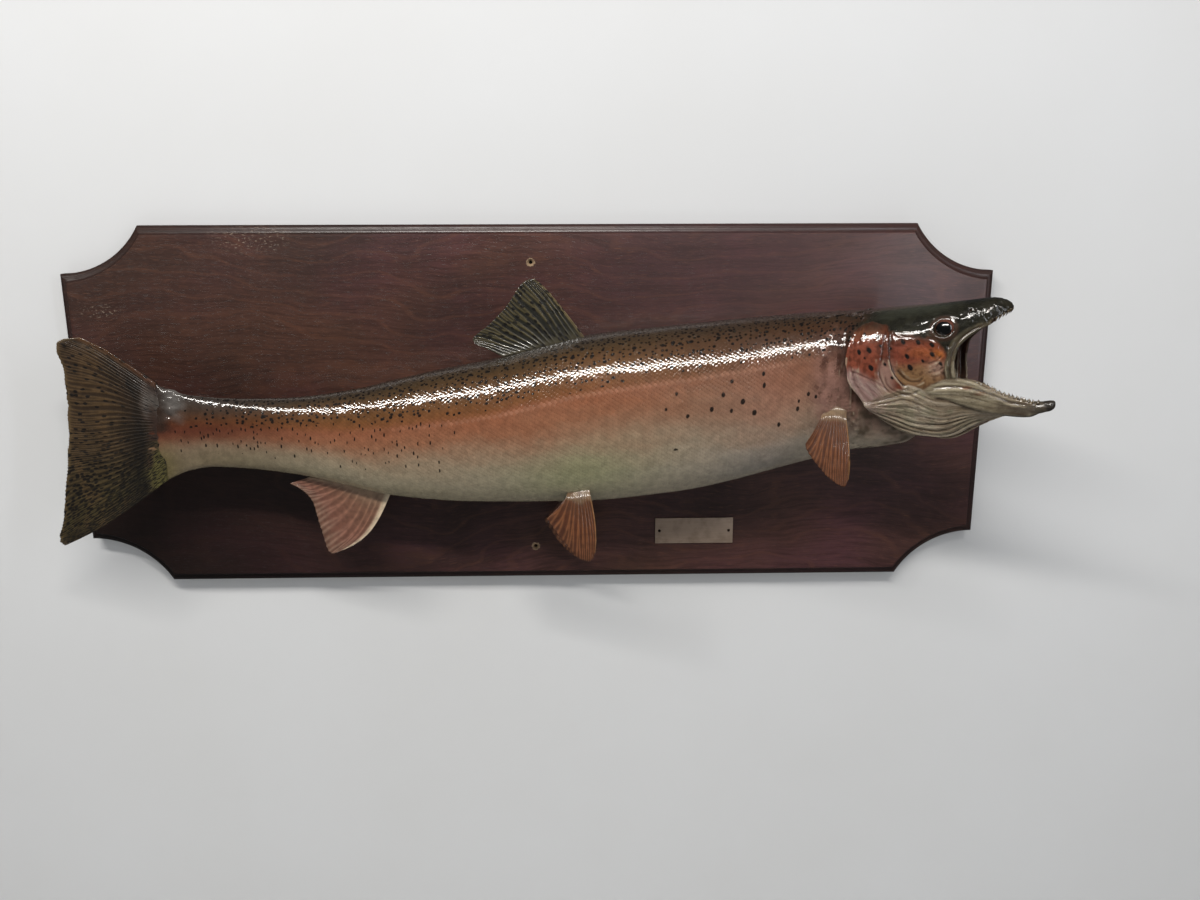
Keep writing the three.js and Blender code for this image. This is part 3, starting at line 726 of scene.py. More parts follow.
def part_weights():
    """For each part, and for the faces that look inwards, a 0..1 weight at each vertex."""
    points, owner, inward = [], [], []
    for index, (name, (part_points, _)) in enumerate(head_parts.items()):
        count = len(part_points)
        inner = np.zeros(count, bool)
        if name[:4] in ("chee", "lip_", "gill", "memb"):
            inner[count // 2:] = True
        if name == "skull":
            ring = VAULT_POINTS + ROOF_POINTS
            inner = np.tile(np.arange(ring) >= VAULT_POINTS, count // ring)
        if name == "jaw":
            inner = np.tile(np.abs(np.arange(JAW_POINTS) - 59) < 17, count // JAW_POINTS)
        if name in ("tongue", "keel", "gullet"):
            inner[:] = True
        points.append(part_points)
        owner.append(np.full(count, index))
        inward.append(inner)
    points, owner, inward = np.vstack(points), np.concatenate(owner), np.concatenate(inward)
    tree = kdtree.KDTree(len(points))
    for i, point in enumerate(points.tolist()):
        tree.insert(point, i)
    tree.balance()
    nearest = np.zeros(len(place), int)
    in_head = np.flatnonzero(place[:, 0] > SEAM - 1)
    nearest[in_head] = [tree.find(point)[1] for point in place[in_head].tolist()]
    own = np.where(place[:, 0] > SEAM - 1, owner[nearest], 0)
    inner = np.where(place[:, 0] > SEAM - 1, inward[nearest], False)
    drawn = np.vstack([flow[name] for name in head_parts])[nearest]
    return {name: own == i for i, name in enumerate(head_parts)}, inner, drawn


def either(part):
    """Where the skin belongs to this part on the near or the far side."""
    return belongs[part + "_near"] | belongs[part + "_far"]


belongs, looks_in, fold_flow = part_weights()
looks_in |= belongs["throat"] & (normal[:, 0] > 0.6) & (place[:, 0] > 342)
print("lining of the mouth and gills:", int(looks_in.sum()), "vertices")

# %% Smooth random values
def value_noise(points, size, seed):
    """Smooth random values in -1..1 with lumps of about `size` millimetres."""
    cell = np.floor(points / size).astype(np.int64)
    part = points / size - cell
    part = part * part * (3 - 2 * part)
    total = np.zeros(len(points))
    for corner in np.ndindex(2, 2, 2):
        key = ((cell + corner) * [73856093, 19349663, 83492791]).sum(axis=1) ^ (seed * 2654435761)
        key = (key ^ (key >> 13)) * 1274126177
        value = ((key ^ (key >> 16)) & 0xFFFF) / 32767.5 - 1
        weight = np.prod(np.where(corner, part, 1 - part), axis=1)
        total += value * weight
    return total


def patch(station, place, middle, size):
    return np.exp(-((station - middle[0]) / size[0]) ** 2 - ((place - middle[1]) / size[1]) ** 2)


# %% [markdown]
# ## Folds, ridges and pores
# A fish's head is full of thin bones under tight skin, and the lacquer shows every edge. Each
# groove or ridge is a short path on the side view of the head with a depth and a width; the skin
# near it is pushed in or out along its normal.

# %% Press the bones' edges into the skin
STEPS = [  # name, depth (inwards is positive) and half width in mm, path as [station, height]
    ("gill cover's bone edge", 0.9, 0.9, [[314.7, 88.5], [313.2, 76], [312.9, 63], [311.9, 51.8],
                                          [314.2, 44.5], [319, 37.2], [329, 31.4]]),
    ("ridge behind that edge", -0.5, 1.6, [[310.8, 86], [309.6, 76], [309.2, 63], [308.6, 51.8],
                                           [310.6, 43], [315.6, 35]]),
    ("cheek's hind ridge", -0.8, 1.3, [[316.8, 86], [319.6, 79], [321.5, 72], [323, 64],
                                       [324.6, 54]]),
    ("crescent fold, inside", 0.9, 1.2, [[323.5, 55.5], [327.8, 49.4], [333.6, 45], [340.4, 45],
                                         [344.8, 48.9]]),
    ("crescent fold, ridge", -0.7, 1.2, [[321.6, 52.5], [326, 46], [333, 41.8], [341, 42],
                                         [346.4, 46]]),
    ("crescent fold, outside", 0.8, 1.1, [[315.9, 52.5], [318.5, 41.2], [326.7, 35.6], [336, 34.7],
                                          [342.8, 38.7]]),
    ("lower gill plate", 0.5, 0.8, [[284, 51.4], [292, 50], [300.4, 47.6], [312.3, 41.9],
                                    [321.9, 34.8]]),
    ("growth line", 0.28, 0.6, [[283.6, 45], [293, 43.5], [303, 38.5], [313, 33]]),
    ("growth line", 0.28, 0.6, [[286, 40], [295, 38.5], [304, 34], [312, 29.6]]),
    ("cheek bone under the skull", 0.35, 1.1, [[316, 84.4], [324, 80.4], [335.5, 79.6],
                                               [344.7, 79.4], [350.2, 77.6], [356.2, 71.5],
                                               [358.7, 66.7]]),
    ("bone under the eye", 0.55, 0.9, [[338, 80], [344, 73], [350, 69], [356, 64]]),
    ("fold under the eye", 0.4, 0.9, [[346, 82.6], [350.5, 78.9], [356, 77.4], [362, 78.6],
                                      [367.4, 83.4]]),
    ("brow", -0.9, 2.2, [[344, 93], [350, 96.4], [356, 97.8], [362, 96], [367, 93]]),
    ("groove to the nostril", 0.5, 1.4, [[365, 95.4], [369, 98.6], [373, 100.6], [378, 101]]),
    ("temple", 0.6, 2.4, [[318, 90.6], [328, 88.4], [338, 88.6], [345, 91]]),
    ("nape fold", 0.5, 1.8, [[288, 93], [298, 92.8], [308, 94], [318, 95.4]]),
    ("mouth corner wrinkle", 0.55, 0.7, [[357.5, 62], [352.5, 57.6], [347, 55.4]]),
    ("mouth corner wrinkle", 0.55, 0.7, [[358.4, 57.5], [353, 53.6], [346.6, 52.4]]),
    ("mouth corner wrinkle", 0.5, 0.7, [[359.4, 53], [354.6, 49.8], [349, 49.2]]),
    ("mouth corner wrinkle", 0.5, 0.7, [[356.6, 66.4], [352.6, 62.2], [346, 59.4]]),
    ("jaw bone's ridge", -0.9, 1.3, [[346, 36.2], [358.3, 38.6], [374.8, 38.9], [391, 34.7],
                                     [407.7, 27.6], [421.9, 26.6]]),
    ("groove over that ridge", 0.8, 1.0, [[350, 39.6], [360, 41.4], [374.8, 41.3], [391, 36.8],
                                          [407.7, 29.8], [420, 28.6]]),
    ("jaw wrinkle", 0.45, 0.7, [[350, 43], [360, 45], [374, 44.6], [388, 39.6]]),
    ("jaw wrinkle", 0.5, 0.8, [[347.4, 33.4], [360, 34.6], [376, 34], [392, 29.6], [406, 25.4]]),
    ("jaw wrinkle", 0.45, 0.8, [[350, 30.6], [364.9, 30.6], [381.4, 27.6], [402.6, 22.8]]),
    ("lip wrinkle", 0.4, 0.6, [[384, 90.6], [374, 84.6], [366.6, 76], [363, 66], [363.4, 55]]),
]


# %% Find each groove's neighbourhood and press it
def path_distance(points, track):
    """Distance of [station, height] points from a smooth path, and how far along they are."""
    knots = path(*[[s, 0, z] for s, z in track])(np.linspace(0, 1, 40))[:, [0, 2]]
    a, b = knots[:-1], knots[1:]
    span = b - a
    along = ((points[:, None] - a) * span).sum(axis=2) / (span**2).sum(axis=1)
    along = np.clip(along, 0, 1)
    gap = np.linalg.norm(points[:, None] - (a + along[..., None] * span), axis=2)
    best = gap.argmin(axis=1)
    return gap[np.arange(len(points)), best], (best + along[np.arange(len(points)), best]) / 39


def relaxed(points, weight, rounds):
    """Points moved towards their neighbours' mean, by a weight for each."""
    points = points.copy()
    for _ in range(rounds):
        for axis in range(3):
            points[:, axis] += weight * (neighbour_mean(points[:, axis]) - points[:, axis])
    return points


cheeks = softened(either("cheek") | belongs["skull"], 2)
cheeks *= ease(place[:, 0], 306, 314) * ease(-place[:, 0], -354, -346) * ~looks_in
cheeks *= ease(place[:, 2], 54, 60) * ease(-place[:, 2], -78, -70)
place = relaxed(place, 0.6 * cheeks, 60)
folded = either("membrane")
place = relaxed(place, 0.4 * ease(place[:, 0], 276, 290) * ~folded, 3)
outside = softened(np.where(looks_in, 0.0, 1.0), 2)
press = np.zeros(len(place))
side_view = place[:, [0, 2]] + np.c_[0 * place[:, 0], JAW_SKEW * np.where(
    belongs["jaw"], jaw_side(place[:, 0]) - place[:, 1], 0)]
uneven = 0.8 + 0.45 * value_noise(place, 7.0, 14)
for _, depth, width, track in STEPS:
    low, high = np.min(track, axis=0) - 4 * width, np.max(track, axis=0) + 4 * width
    near = np.flatnonzero(((side_view > low) & (side_view < high)).all(axis=1) & ~looks_in)
    for chunk in np.array_split(near, max(1, len(near) // 20000)):
        gap, along = path_distance(side_view[chunk], track)
        fade = ease(along, 0, 0.12) * ease(1 - along, 0, 0.12)
        press[chunk] += depth * np.exp(-(gap / width) ** 2) * fade
press *= uneven
print("folds pressed up to, mm:", round(float(press.max()), 2))


# %% Lumps, pores and wrinkles that no bone explains
station, side, height = place.T
is_head = ease(station, 279, 292)
granular = ease(station, 366, 384) * ease(height, 84, 90)
wet_skin = (either("cheek") | belongs["skull"]).astype(float)
wet_skin *= ease(station, 312, 322) * ease(82 - height, 0, 8) * ease(height, 44, 50)


def body_lumps(points):
    """Loose skin behind the gill covers and at the tail's root, and the paired fins' bases."""
    shoulder = ease(points[:, 0], 244, 262) * ease(-points[:, 0], -302, -290)
    tail_root = ease(-points[:, 0], 296, 308) * ease(points[:, 2], -14, 6)
    tail_root *= ease(points[:, 0], -324, -313)
    bases = 1.5 * patch(points[:, 0], points[:, 2], (270, 16.5), (11, 4.5))
    pelvic_height = np.where(points[:, 1] > 0, -56.5, -70)
    bases += 1.3 * patch(points[:, 0], points[:, 2] - pelvic_height, (41, 0), (9, 4))
    uneven = 0.35 * value_noise(points * [0.4, 1, 1], 26.0, 22)
    uneven += (0.08 + 0.1 * ease(-points[:, 0], -40, 200)) * value_noise(
        points * [0.6, 1, 1], 8.0, 21)
    return (uneven * ease(-points[:, 0], -285, -240)
            + bases * (0.8 + 0.5 * value_noise(points, 3.5, 18))
            + 0.75 * shoulder * value_noise(points * [1.2, 1, 0.6], 6.0, 5)
            + 0.45 * shoulder * value_noise(points * [1.3, 1, 0.8], 2.8, 15)
            + 1.20 * tail_root * value_noise(points * [1, 1, 1.4], 9.0, 6)
            + 1.1 * tail_root * value_noise(points * [0.8, 1, 1.3], 4.0, 7))


lumps = (0.10 * is_head * value_noise(place, 4.2, 1)
         + 0.32 * granular * value_noise(place, 2.0, 2)
         + 0.26 * granular * value_noise(place, 1.3, 3)
         + 0.26 * wet_skin * value_noise(place * [1, 1, 0.8], 3.2, 4)
         + body_lumps(place))
lumps += 0.22 * belongs["throat"] * value_noise(place * [0.4, 1, 1.2], 3.0, 8)
wet_ridge = patch(station, height, (314, 70), (4.5, 12)) * ~looks_in
wet_ridge += patch(station, height, (340, 68), (8, 5)) + patch(station, height, (353, 56), (6, 6))
wet_ridge *= either("cheek") | either("gill") | belongs["skull"]
lumps += wet_ridge * (0.34 * value_noise(place, 2.7, 16) + 0.22 * value_noise(place, 1.7, 17))


# %% Set the eyes' sockets and the nostrils
EYE_STATION, EYE_HEIGHT, EYE_SIDE = 355.5, 87.0, 22.6
EYE_LONG, EYE_TALL, EYE_DEEP = 9.0, 7.9, 7.6
eye_ring = np.hypot((station - EYE_STATION) / EYE_LONG, (height - EYE_HEIGHT) / EYE_TALL)
eye_ring = np.where(np.abs(side) > 12, eye_ring, 9)
lid_edge = 0.80
socket = 3.4 * ease(-eye_ring, -lid_edge, -lid_edge + 0.14)
lid = -0.25 * np.exp(-((eye_ring - 0.95) / 0.12) ** 2)
orbit = 0.1 * np.exp(-((eye_ring - 1.24) / 0.16) ** 2)
nostril = 1.8 * np.exp(-(np.hypot(station - 372.4, height - 101.2) / 0.9) ** 2)
nostril -= 0.5 * np.exp(-((np.hypot(station - 372.4, height - 101.2) - 2.0) / 0.7) ** 2)
head_only = np.where(belongs["skull"] & ~looks_in, 1.0, 0.0)
press += head_only * (socket + lid + orbit + nostril)
print("eye sockets pressed in, mm:", socket.max().round(1))

# %% Move the skin's points, and smooth the seams
shift = softened(press * outside - lumps, 1)
shift = np.where(station > STALK_END - 15, shift, 0)
moved = place - normal * shift[:, None]
blend_band = np.exp(-((station - 281) / 3.5) ** 2) * ~either("gill")
blend_band = np.maximum(blend_band, np.exp(-((station - SEAM) / 2.5) ** 2))
place = relaxed(relaxed(moved, 0.6 * blend_band, 40), 0.35 * is_head, 1)
skin.data.vertices.foreach_set("co", place.ravel())
skin.data.update()
print("skin shaped; station reaches", place[:, 0].min().round(1), "to", place[:, 0].max().round(1))

# %% [markdown]
# ## Airbrushed colours
# A mount is painted over the dried skin: bands of thinned colour from the olive back to the pale
# belly, red on the cheeks, a wash that settles in the folds and also paints their shade, and
# black spots dotted on by hand.
# Here too, layers of colour go on one over the other, each as thick as a formula of the place
# says. The same function paints the skin and the scales that lie on it, so they always agree.

# %% Colours
def linear(code):
    """An sRGB hex colour as linear red, green and blue."""
    srgb = np.array([int(code[i:i + 2], 16) for i in (1, 3, 5)]) / 255
    return np.where(srgb <= 0.04045, srgb / 12.92, ((srgb + 0.055) / 1.055) ** 2.4)


def ramp(value, *stops):
    """Colours between [value, hex] stops."""
    places = [place for place, _ in stops]
    colours = np.array([linear(code) for _, code in stops])
    return np.stack([np.interp(value, places, colours[:, i]) for i in range(3)], axis=1)


def spray(colour, *layers):
    """Airbrushed layers over each other: each a hex colour and how thickly it covers, 0..1."""
    for code, amount in layers:
        amount = np.clip(amount, 0, 1)[:, None]
        colour = colour * (1 - amount) + linear(code) * amount
    return colour


# %% Bands of colour along the flank
def spray_drift(points):
    """The slow unevenness of a hand-held airbrush."""
    return (value_noise(points * [0.3, 1, 1], 14.0, 9)
            + 0.5 * value_noise(points * [0.5, 1, 1], 5.0, 10))


def flank_paint(station, place, drift):
    """Colours of the trunk from its place on the flank: -1 belly, 0 lateral line, 1 back."""
    t = place + 0.05 * drift
    colour = ramp(t, (-1.0, "#a8a08e"), (-0.8, "#938a79"), (-0.6, "#958c7c"), (-0.45, "#918370"),
                  (-0.3, "#8b705b"), (-0.14, "#875b43"), (0.0, "#83523a"), (0.1, "#74492c"),
                  (0.24, "#614022"), (0.45, "#55391d"), (0.64, "#40301d"), (0.8, "#302920"),
                  (1.0, "#2c2a25"))
    tailward, forward = ease(-station, 150, 290), ease(station, 60, 200)
    behind = ease(station + 5 * drift, 240, 264) * patch(0, t, (0, -0.25), (1, 0.4))
    marks = np.c_[station, 62 * place, 0 * place]
    marks = value_noise(marks, 7.0, 51) + 0.7 * value_noise(marks, 3.2, 52)
    loose = ease(station + 6 * marks, 240, 262) * ease(-t, -0.6, -0.3) * ease(t, -0.75, -0.4)
    line = np.exp(-((place - 0.01) * 62 / 1.1) ** 2)
    return spray(colour,
        ("#4b2419", 0.85 * tailward * patch(0, t, (0, 0.02), (1, 0.42))),
        ("#5a4836", 0.7 * tailward * ease(-t, 0.2, 0.6)),
        ("#7d6858", 0.55 * forward * patch(0, t, (0, -0.2), (1, 0.3))),
        ("#64401f", 0.5 * patch(station, t, (60, 0.14), (190, 0.12))),
        ("#432b1b", 0.82 * forward * patch(0, t, (0, 0.32), (1, 0.34))),
        ("#2c2118", 0.7 * forward * ease(t, 0.3, 0.7)),
        ("#332d2a", 0.6 * tailward * ease(t, 0.2, 0.55)),
        ("#857c56", 0.4 * patch(station, t, (-150, -0.75), (170, 0.35))),
        ("#77824f", 0.45 * patch(station, t, (45, -0.58), (60, 0.2))),
        ("#62656b", 0.4 * patch(station, t, (205, -0.72), (50, 0.2))),
        ("#96604f", 0.35 * patch(station, t, (215, -0.22), (45, 0.3))),
        ("#3a2416", 0.5 * ease(station, 170, 250) * patch(0, t, (0, 0.36), (1, 0.26))),
        ("#6f5049", 0.7 * behind),
        # painted shadow behind the gill cover, on the trunk's scales and skin
        ("#2a1812", 0.65 * ease(station + 5 * marks, 258, 275) * patch(0, t, (0, 0.1), (1, 0.42))),
        ("#3d241c", 0.7 * loose * ease(marks, -0.1, 0.9)),
        ("#8f6b60", 0.5 * loose * ease(-marks, 0.0, 0.8)),
        ("#3d251c", 0.5 * ease(station + 8 * drift, 266, 290) * patch(0, t, (0, 0.0), (1, 0.5))),
        # pale grey on the stalk's top at the tail's root, partly a painted highlight
        ("#5d5a57", 0.85 * ease(-station + 5 * drift, 288, 302) * ease(t + 0.2 * drift, 0.1, 0.5)),
        ("#57502a", 0.7 * ease(-station, 296, 322) * ease(-t, 0.1, 0.6)),
        ("#2a201a", 0.85 * ease(-station + 4 * drift, 303, 317) * ease(t + 0.2 * drift, -0.35, 0)),
        ("#b98a72", 0.3 * line * ease(-station, -262, -200) * ease(station, -180, 0)))


def spot_density(station, place):
    """How thickly the small, the large and the drawn-out spots are dotted."""
    small = 0.85 * ease(place, 0.04, 0.3) * ease(-station, -298, -284) * ease(station, -318, -250)
    large = 0.27 * ease(station, 60, 150) * ease(-station, -262, -244)
    large *= ease(place, -0.5, -0.2) * ease(-place, -0.2, 0.05)
    drawn = 0.5 * ease(-station, 20, 150) * ease(place, -0.62, -0.2) * ease(-place, -0.25, -0.1)
    return small, large, drawn * ease(station, -322, -300)


# %% Where the head's colours change
cheek_line = through([300, 86], [314, 84], [324, 80.6], [335, 80.4], [345, 79.4], [350, 77.9],
                     [356, 72.5], [359, 67.7], [366, 60])
subopercle_line = through([280, 52.5], [287, 51], [300.4, 47.6], [312.3, 41.9], [321.9, 34.8])
HEAD_SPOTS = [  # station, height, radius in mm
    (297.2, 80.2, 1.5), (308.5, 78.8, 1.7), (293.8, 66.7, 1.9), (303.0, 68.6, 1.9),
    (300.1, 62.4, 0.9), (305.4, 54.9, 1.9), (327.2, 76.0, 1.7), (338.5, 76.1, 1.6),
    (331.4, 64.8, 1.7), (334.1, 56.0, 1.9), (348.6, 74.4, 1.6), (349.5, 66.8, 1.7),
    (356.1, 59.6, 1.2), (343.0, 61.6, 1.2), (315.7, 58.1, 1.2), (321.5, 47.4, 1.1),
    (318.6, 70.5, 0.9), (311.0, 72.4, 0.9)]


def gill_shade():
    """Painted shadow in the gap behind the near gill cover's edge."""
    body = np.flatnonzero(belongs["trunk"] & (place[:, 0] > 262) & (place[:, 2] > 15))
    gap, _ = path_distance(place[body][:, [0, 2]], [[301, 91], [289.6, 86], [282.4, 73],
                                                    [280.6, 58], [284, 43], [300, 25.4]])
    shade = np.zeros(len(place))
    shade[body] = np.exp(-(gap / 2.8) ** 2)
    return softened(shade, 2)


# %% Paint the head
def head_paint(colour):
    station, _, height = place.T
    opercle, pleated = softened(either("gill"), 4), softened(either("membrane"), 8)
    jaw, lips = softened(belongs["jaw"], 6), softened(either("lip"), 4)
    lining = softened(looks_in, 2)
    mottle = value_noise(place, 7.0, 11) + 0.6 * value_noise(place, 3.0, 12)
    on_skull = ease(station + 6 * mottle, 274, 306) * (1 - opercle) * (1 - pleated) * (1 - jaw)
    below = on_skull * ease(cheek_line(station) - height + 1.8 * mottle, -2, 4.5)
    below *= ease(-station, -363, -358) * ease(station, 308, 316) * ease(height, 28, 34)
    corner = ease(61 - height + 0.12 * (station - 330) + 1.5 * mottle, -1, 10)
    flush = np.clip(below + opercle, 0, 1)
    stain = patch(station, height, (316, 71), (4.5, 12))
    stain = stain + patch(station, height, (336, 79), (16, 3.5))
    veins = value_noise(place, 3.2, 23) + 0.7 * value_noise(place, 1.7, 24)
    hind = flush * ease(-station, -327, -318) * ease(station, 309, 313)
    lower = opercle * ease(subopercle_line(station) - height + 2.2 * mottle, -5, 5)
    streak = value_noise(np.c_[fold_flow * [0.1, 0.8], 0 * height], 2.4, 19)
    streak = streak + 0.5 * value_noise(np.c_[fold_flow * [0.2, 1.6], 0 * height], 2.4, 20)
    folded = (pleated + 0.7 * jaw + 0.6 * lower * (1 - pleated)).clip(0, 1) * (1 - lining)
    gums = lining * ease(station, 279, 290)
    return spray(colour,
        ("#181710", on_skull * ease(height, 44, 58)),
        ("#27261c", on_skull * 0.6 * ease(mottle, -0.3, 0.9)),
        # painted light: where the skull faces up it is painted paler, as if lit from above
        ("#3f4136", on_skull * 0.55 * ease(normal[:, 2], 0.72, 0.97) * ease(-station, -372, -340)
                    * ease(station, 284, 322)),
        ("#28241b", on_skull * ease(station, 372, 392) * (0.35 + 0.3 * mottle)),
        ("#3a2f20", on_skull * ease(-station, -372, -340) * (height < 84) * (0.3 + 0.3 * mottle)),
        ("#71392a", below),
        ("#4d2f1d", 0.7 * below * ease(height + 1.2 * mottle, 72, 80)),
        ("#b0682c", 0.85 * below * patch(station, height, (353.5, 66.5), (5, 4.5))),
        ("#8f4f2b", 0.7 * below * patch(station, height, (341, 68), (11, 5))),
        ("#7d6342", 0.8 * below * corner),
        ("#94776c", 0.75 * below * patch(station, height, (354, 56), (7, 6))),
        ("#2c1a10", 0.7 * flush * stain * ease(mottle, -0.9, 0.5)),
        ("#3c1d12", 0.55 * flush * ease(veins, -0.3, 1.0)),
        ("#453f30", lips),
        ("#6b604c", 0.6 * lips * ease(mottle, -0.2, 0.9)),
        ("#743c2b", opercle),
        ("#5b3922", 0.8 * opercle * ease(height + 1.6 * mottle, 70, 85)),
        ("#2b2118", 0.85 * opercle * ease(height + 1.2 * mottle, 80, 89)),
        ("#4a2416", 0.6 * opercle * ease(station + mottle, 306, 314)),
        ("#3c1d12", 0.6 * opercle * ease(veins, -0.3, 1.0)),
        ("#86695e", 0.9 * hind * ease(64 - height + 1.6 * mottle, 0, 11)),
        ("#8b6f6a", lower),
        ("#7b6547", 0.8 * lower * ease(station, 308, 322)),
        ("#877a67", pleated),
        ("#8a716b", 0.7 * pleated * ease(-station - 0.5 * mottle, -330, -303)),
        ("#6b5a40", 0.5 * pleated * ease(mottle, 0.1, 1.0)),
        ("#6d6e58", 0.5 * pleated * ease(-mottle, 0.0, 0.9)),
        ("#7d745f", jaw),
        ("#988d75", 0.4 * jaw * ease(mottle, 0.0, 0.9) * ease(-station, -392, -380)),
        # painted shade: the lower part of the jaw's side is painted darker
        ("#5f5645", 0.6 * jaw * ease(30 - height + 0.06 * (400 - station), 0, 6)),
        ("#7d3f1c", 0.85 * jaw * patch(station, height, (375.7, 41.1), (3.2, 1.3))),
        ("#7d3f1c", 0.85 * jaw * patch(station, height, (385.1, 36.6), (3.2, 1.3))),
        ("#463f37", 0.85 * jaw * ease(station + 2 * mottle, 390, 418)),
        ("#46301f", 0.6 * jaw * ease(height - jaw_top(station), -3.4, -0.5)
                    * ease(station, 384, 392)),
        ("#4a3a28", 0.55 * folded * ease(streak, 0.15, 0.9)),
        ("#b3a998", 0.4 * folded * ease(-streak, 0.15, 0.9)),
        ("#573f34", gums),
        # painted shade: the mouth's lining darkens to near black further back inside
        ("#1d1411", gums * ease(-station, -356, -336)),
        # painted shadow behind the near gill cover
        ("#1c120d", 0.8 * gill_shade()))


# %% Painted shade in the folds, painted highlight on the ridges, and the head's spots
def folds_and_spots(colour):
    """Dark paint in the folds, also their painted shade, paler ridges as a painted highlight, and the
    spots dotted on by hand.
    """
    station, side, height = place.T
    smooth = place.copy()
    for _ in range(5):
        smooth = np.stack([neighbour_mean(smooth[:, axis]) for axis in range(3)], axis=1)
    hollow = ((smooth - place) * normal).sum(axis=1)
    on_head = ease(station, 262, 282)
    colour = spray(colour,
        # painted shade: darker where the skin lies in a hollow; painted highlight: paler on ridges
        # below 62 mm
        ("#2a1b11", on_head * 0.72 * ease(hollow, 0.02, 0.22)),
        ("#b9ad94", on_head * 0.4 * ease(-hollow, 0.04, 0.2) * (height < 62)))
    dotted = (np.abs(side) > 12) & ~looks_in & ~belongs["trunk"]
    wobble = 0.2 * value_noise(place, 1.6, 13)
    for spot_station, spot_height, radius in HEAD_SPOTS:
        up = height - spot_height
        gap = np.hypot(station - spot_station + 0.35 * up, up * 0.8) + wobble
        colour = spray(colour, ("#17120f", dotted * ease(-gap, -radius - 0.35, -radius + 0.35)))
    rim = np.exp(-((eye_ring - 1.02) / 0.16) ** 2) * (np.abs(side) > 12)
    return spray(colour, ("#4a3026", 0.5 * rim * (station > 330)))


normal = vectors(skin.data, "normal")
station, side, height = place.T
flank = flank_place(np.clip(station, STALK_END, NAPE), height)
tint = flank_paint(station, flank, spray_drift(place))
tint = folds_and_spots(head_paint(tint))
print("painted", len(tint), "points; mean linear colour", tint.mean(axis=0).round(3))


# %% Store the paint on the mesh
def give(mesh, name, kind, values):
    layer = mesh.attributes.new(name, kind, "POINT")
    key = {"FLOAT": "value", "FLOAT_VECTOR": "vector", "FLOAT_COLOR": "color"}[kind]
    layer.data.foreach_set(key, np.asarray(values, np.float32).ravel())


def give_paint(mesh, colour, lay, densities):
    give(mesh, "tint", "FLOAT_COLOR", np.c_[colour, np.ones(len(colour))])
    give(mesh, "lay", "FLOAT_VECTOR", lay)
    for name, values in zip(("small", "large", "drawn"), densities):
        give(mesh, name, "FLOAT", values)


def lay_of(station, flank, far):
    """Where a point lies on the unrolled skin, in mm; the far flank is beyond the back's ridge."""
    arc = np.where(flank > 0, flank * arc_above(station), flank * arc_below(station))
    arc = np.where(far, 2 * arc_above(station) - arc, arc)
    return xyz(station, arc, 0.0)


densities = [d * ease(-station, -296, -288) * ~either("gill")
             for d in spot_density(station, flank)]
give_paint(skin.data, tint, lay_of(station, flank, side < 0), densities)
give(skin.data, "scale_edge", "FLOAT", np.zeros(len(place)))
wrinkled = np.zeros(len(place))
for name, amount in (("membrane", 1.0), ("lip", 0.8), ("gill", 0.75), ("cheek", 0.4)):
    wrinkled += amount * ease(softened(either(name), 3), 0.5, 0.9)
wrinkled *= np.where(belongs["gill_near"] | belongs["gill_far"],
                     ease(subopercle_line(station) + 9 - height, 0, 12), 1)
wrinkled += 0.8 * ease(softened(belongs["jaw"], 3), 0.5, 0.9)
wrinkled *= ~looks_in
give(skin.data, "wrinkle", "FLOAT_VECTOR", np.c_[fold_flow, wrinkled])
shoulder = ease(station, 266, 278) * ease(-station, -302, -290) * belongs["trunk"]
skull_top = belongs["skull"] * ease(station, 292, 306) * ease(height, 76, 82)
gill_top = either("gill") * ease(height, 46, 60)
pebbles = granular + 0.7 * wet_skin + 0.9 * shoulder + 0.6 * skull_top + 0.45 * gill_top
pebbles += 0.9 * ease(-station, 292, 304) * ease(height, -14, 0)
pebbles = np.clip(pebbles + wet_ridge, 0, 1) * ~looks_in
give(skin.data, "pebbled", "FLOAT", softened(pebbles, 3))
skin.data.vertices.foreach_set("co", bend(place).ravel())
skin.data.update()
print("painted and bent the skin")
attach(skin, "root")
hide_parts("tail_stalk", "trunk_rear", "trunk_middle", "trunk_front", "head", "cheek_near",
            "cheek_far", "lip_near", "lip_far", "gill_cover_near", "gill_cover_far",
            "gill_membrane_near", "gill_membrane_far", "isthmus", "lower_jaw", "tongue")

# %% [markdown]
# ## Scales
# About 145 scales lie in a row along the lateral line, 4.6 mm apart in the middle of the body and
# closer towards the tail. Every scale is a small domed plate whose front is sunk in the skin and
# whose rounded rear edge stands free, staggered like roof tiles. A bump map would be cheaper, but
# real plates catch the light on their edges.

# %% Plates on a staggered lattice
SCALE_STEP = 2.3
ROW_STEP = 3.6
SCALE_FRONT, SCALE_REAR = 272.0, -316.0
PLATE_RINGS = [0, 0.5, 0.92, 1.0, 1.03]  # how far back along the plate its rows of points are
PLATE_RISE = [-0.14, 0.07, 0.19, 0.18, 0.02]  # and how high they stand over the skin, in mm
PLATE_POINTS = 25


def quad_object(name, points, quads):
    """An object made of quads only, from arrays."""
    mesh = bpy.data.meshes.new(name)
    mesh.vertices.add(len(points))
    mesh.vertices.foreach_set("co", np.asarray(points, np.float32).ravel())
    mesh.loops.add(quads.size)
    mesh.loops.foreach_set("vertex_index", quads.ravel().astype(np.int32))
    mesh.polygons.add(len(quads))
    mesh.polygons.foreach_set("loop_start", np.arange(0, quads.size, 4, dtype=np.int32))
    mesh.update(calc_edges=True)
    mesh.polygons.foreach_set("use_smooth", [True] * len(quads))
    piece = bpy.data.objects.new(name, mesh)
    bpy.context.scene.collection.objects.link(piece)
    return piece


# %% Where the scales sit
def scale_size(station):
    return 1 - 0.36 * ease(-station, 60, 300) - 0.12 * ease(station, 200, 270)


def skin_point(station, arc, far):
    """A point of the trunk's skin from its distance over the skin from the lateral line."""
    angle = flank_angle(station, np.clip(place_of(station, arc), -1, 1))
    return trunk_point(station, np.where(far, np.pi - angle, angle), SKIN_DEPTH)


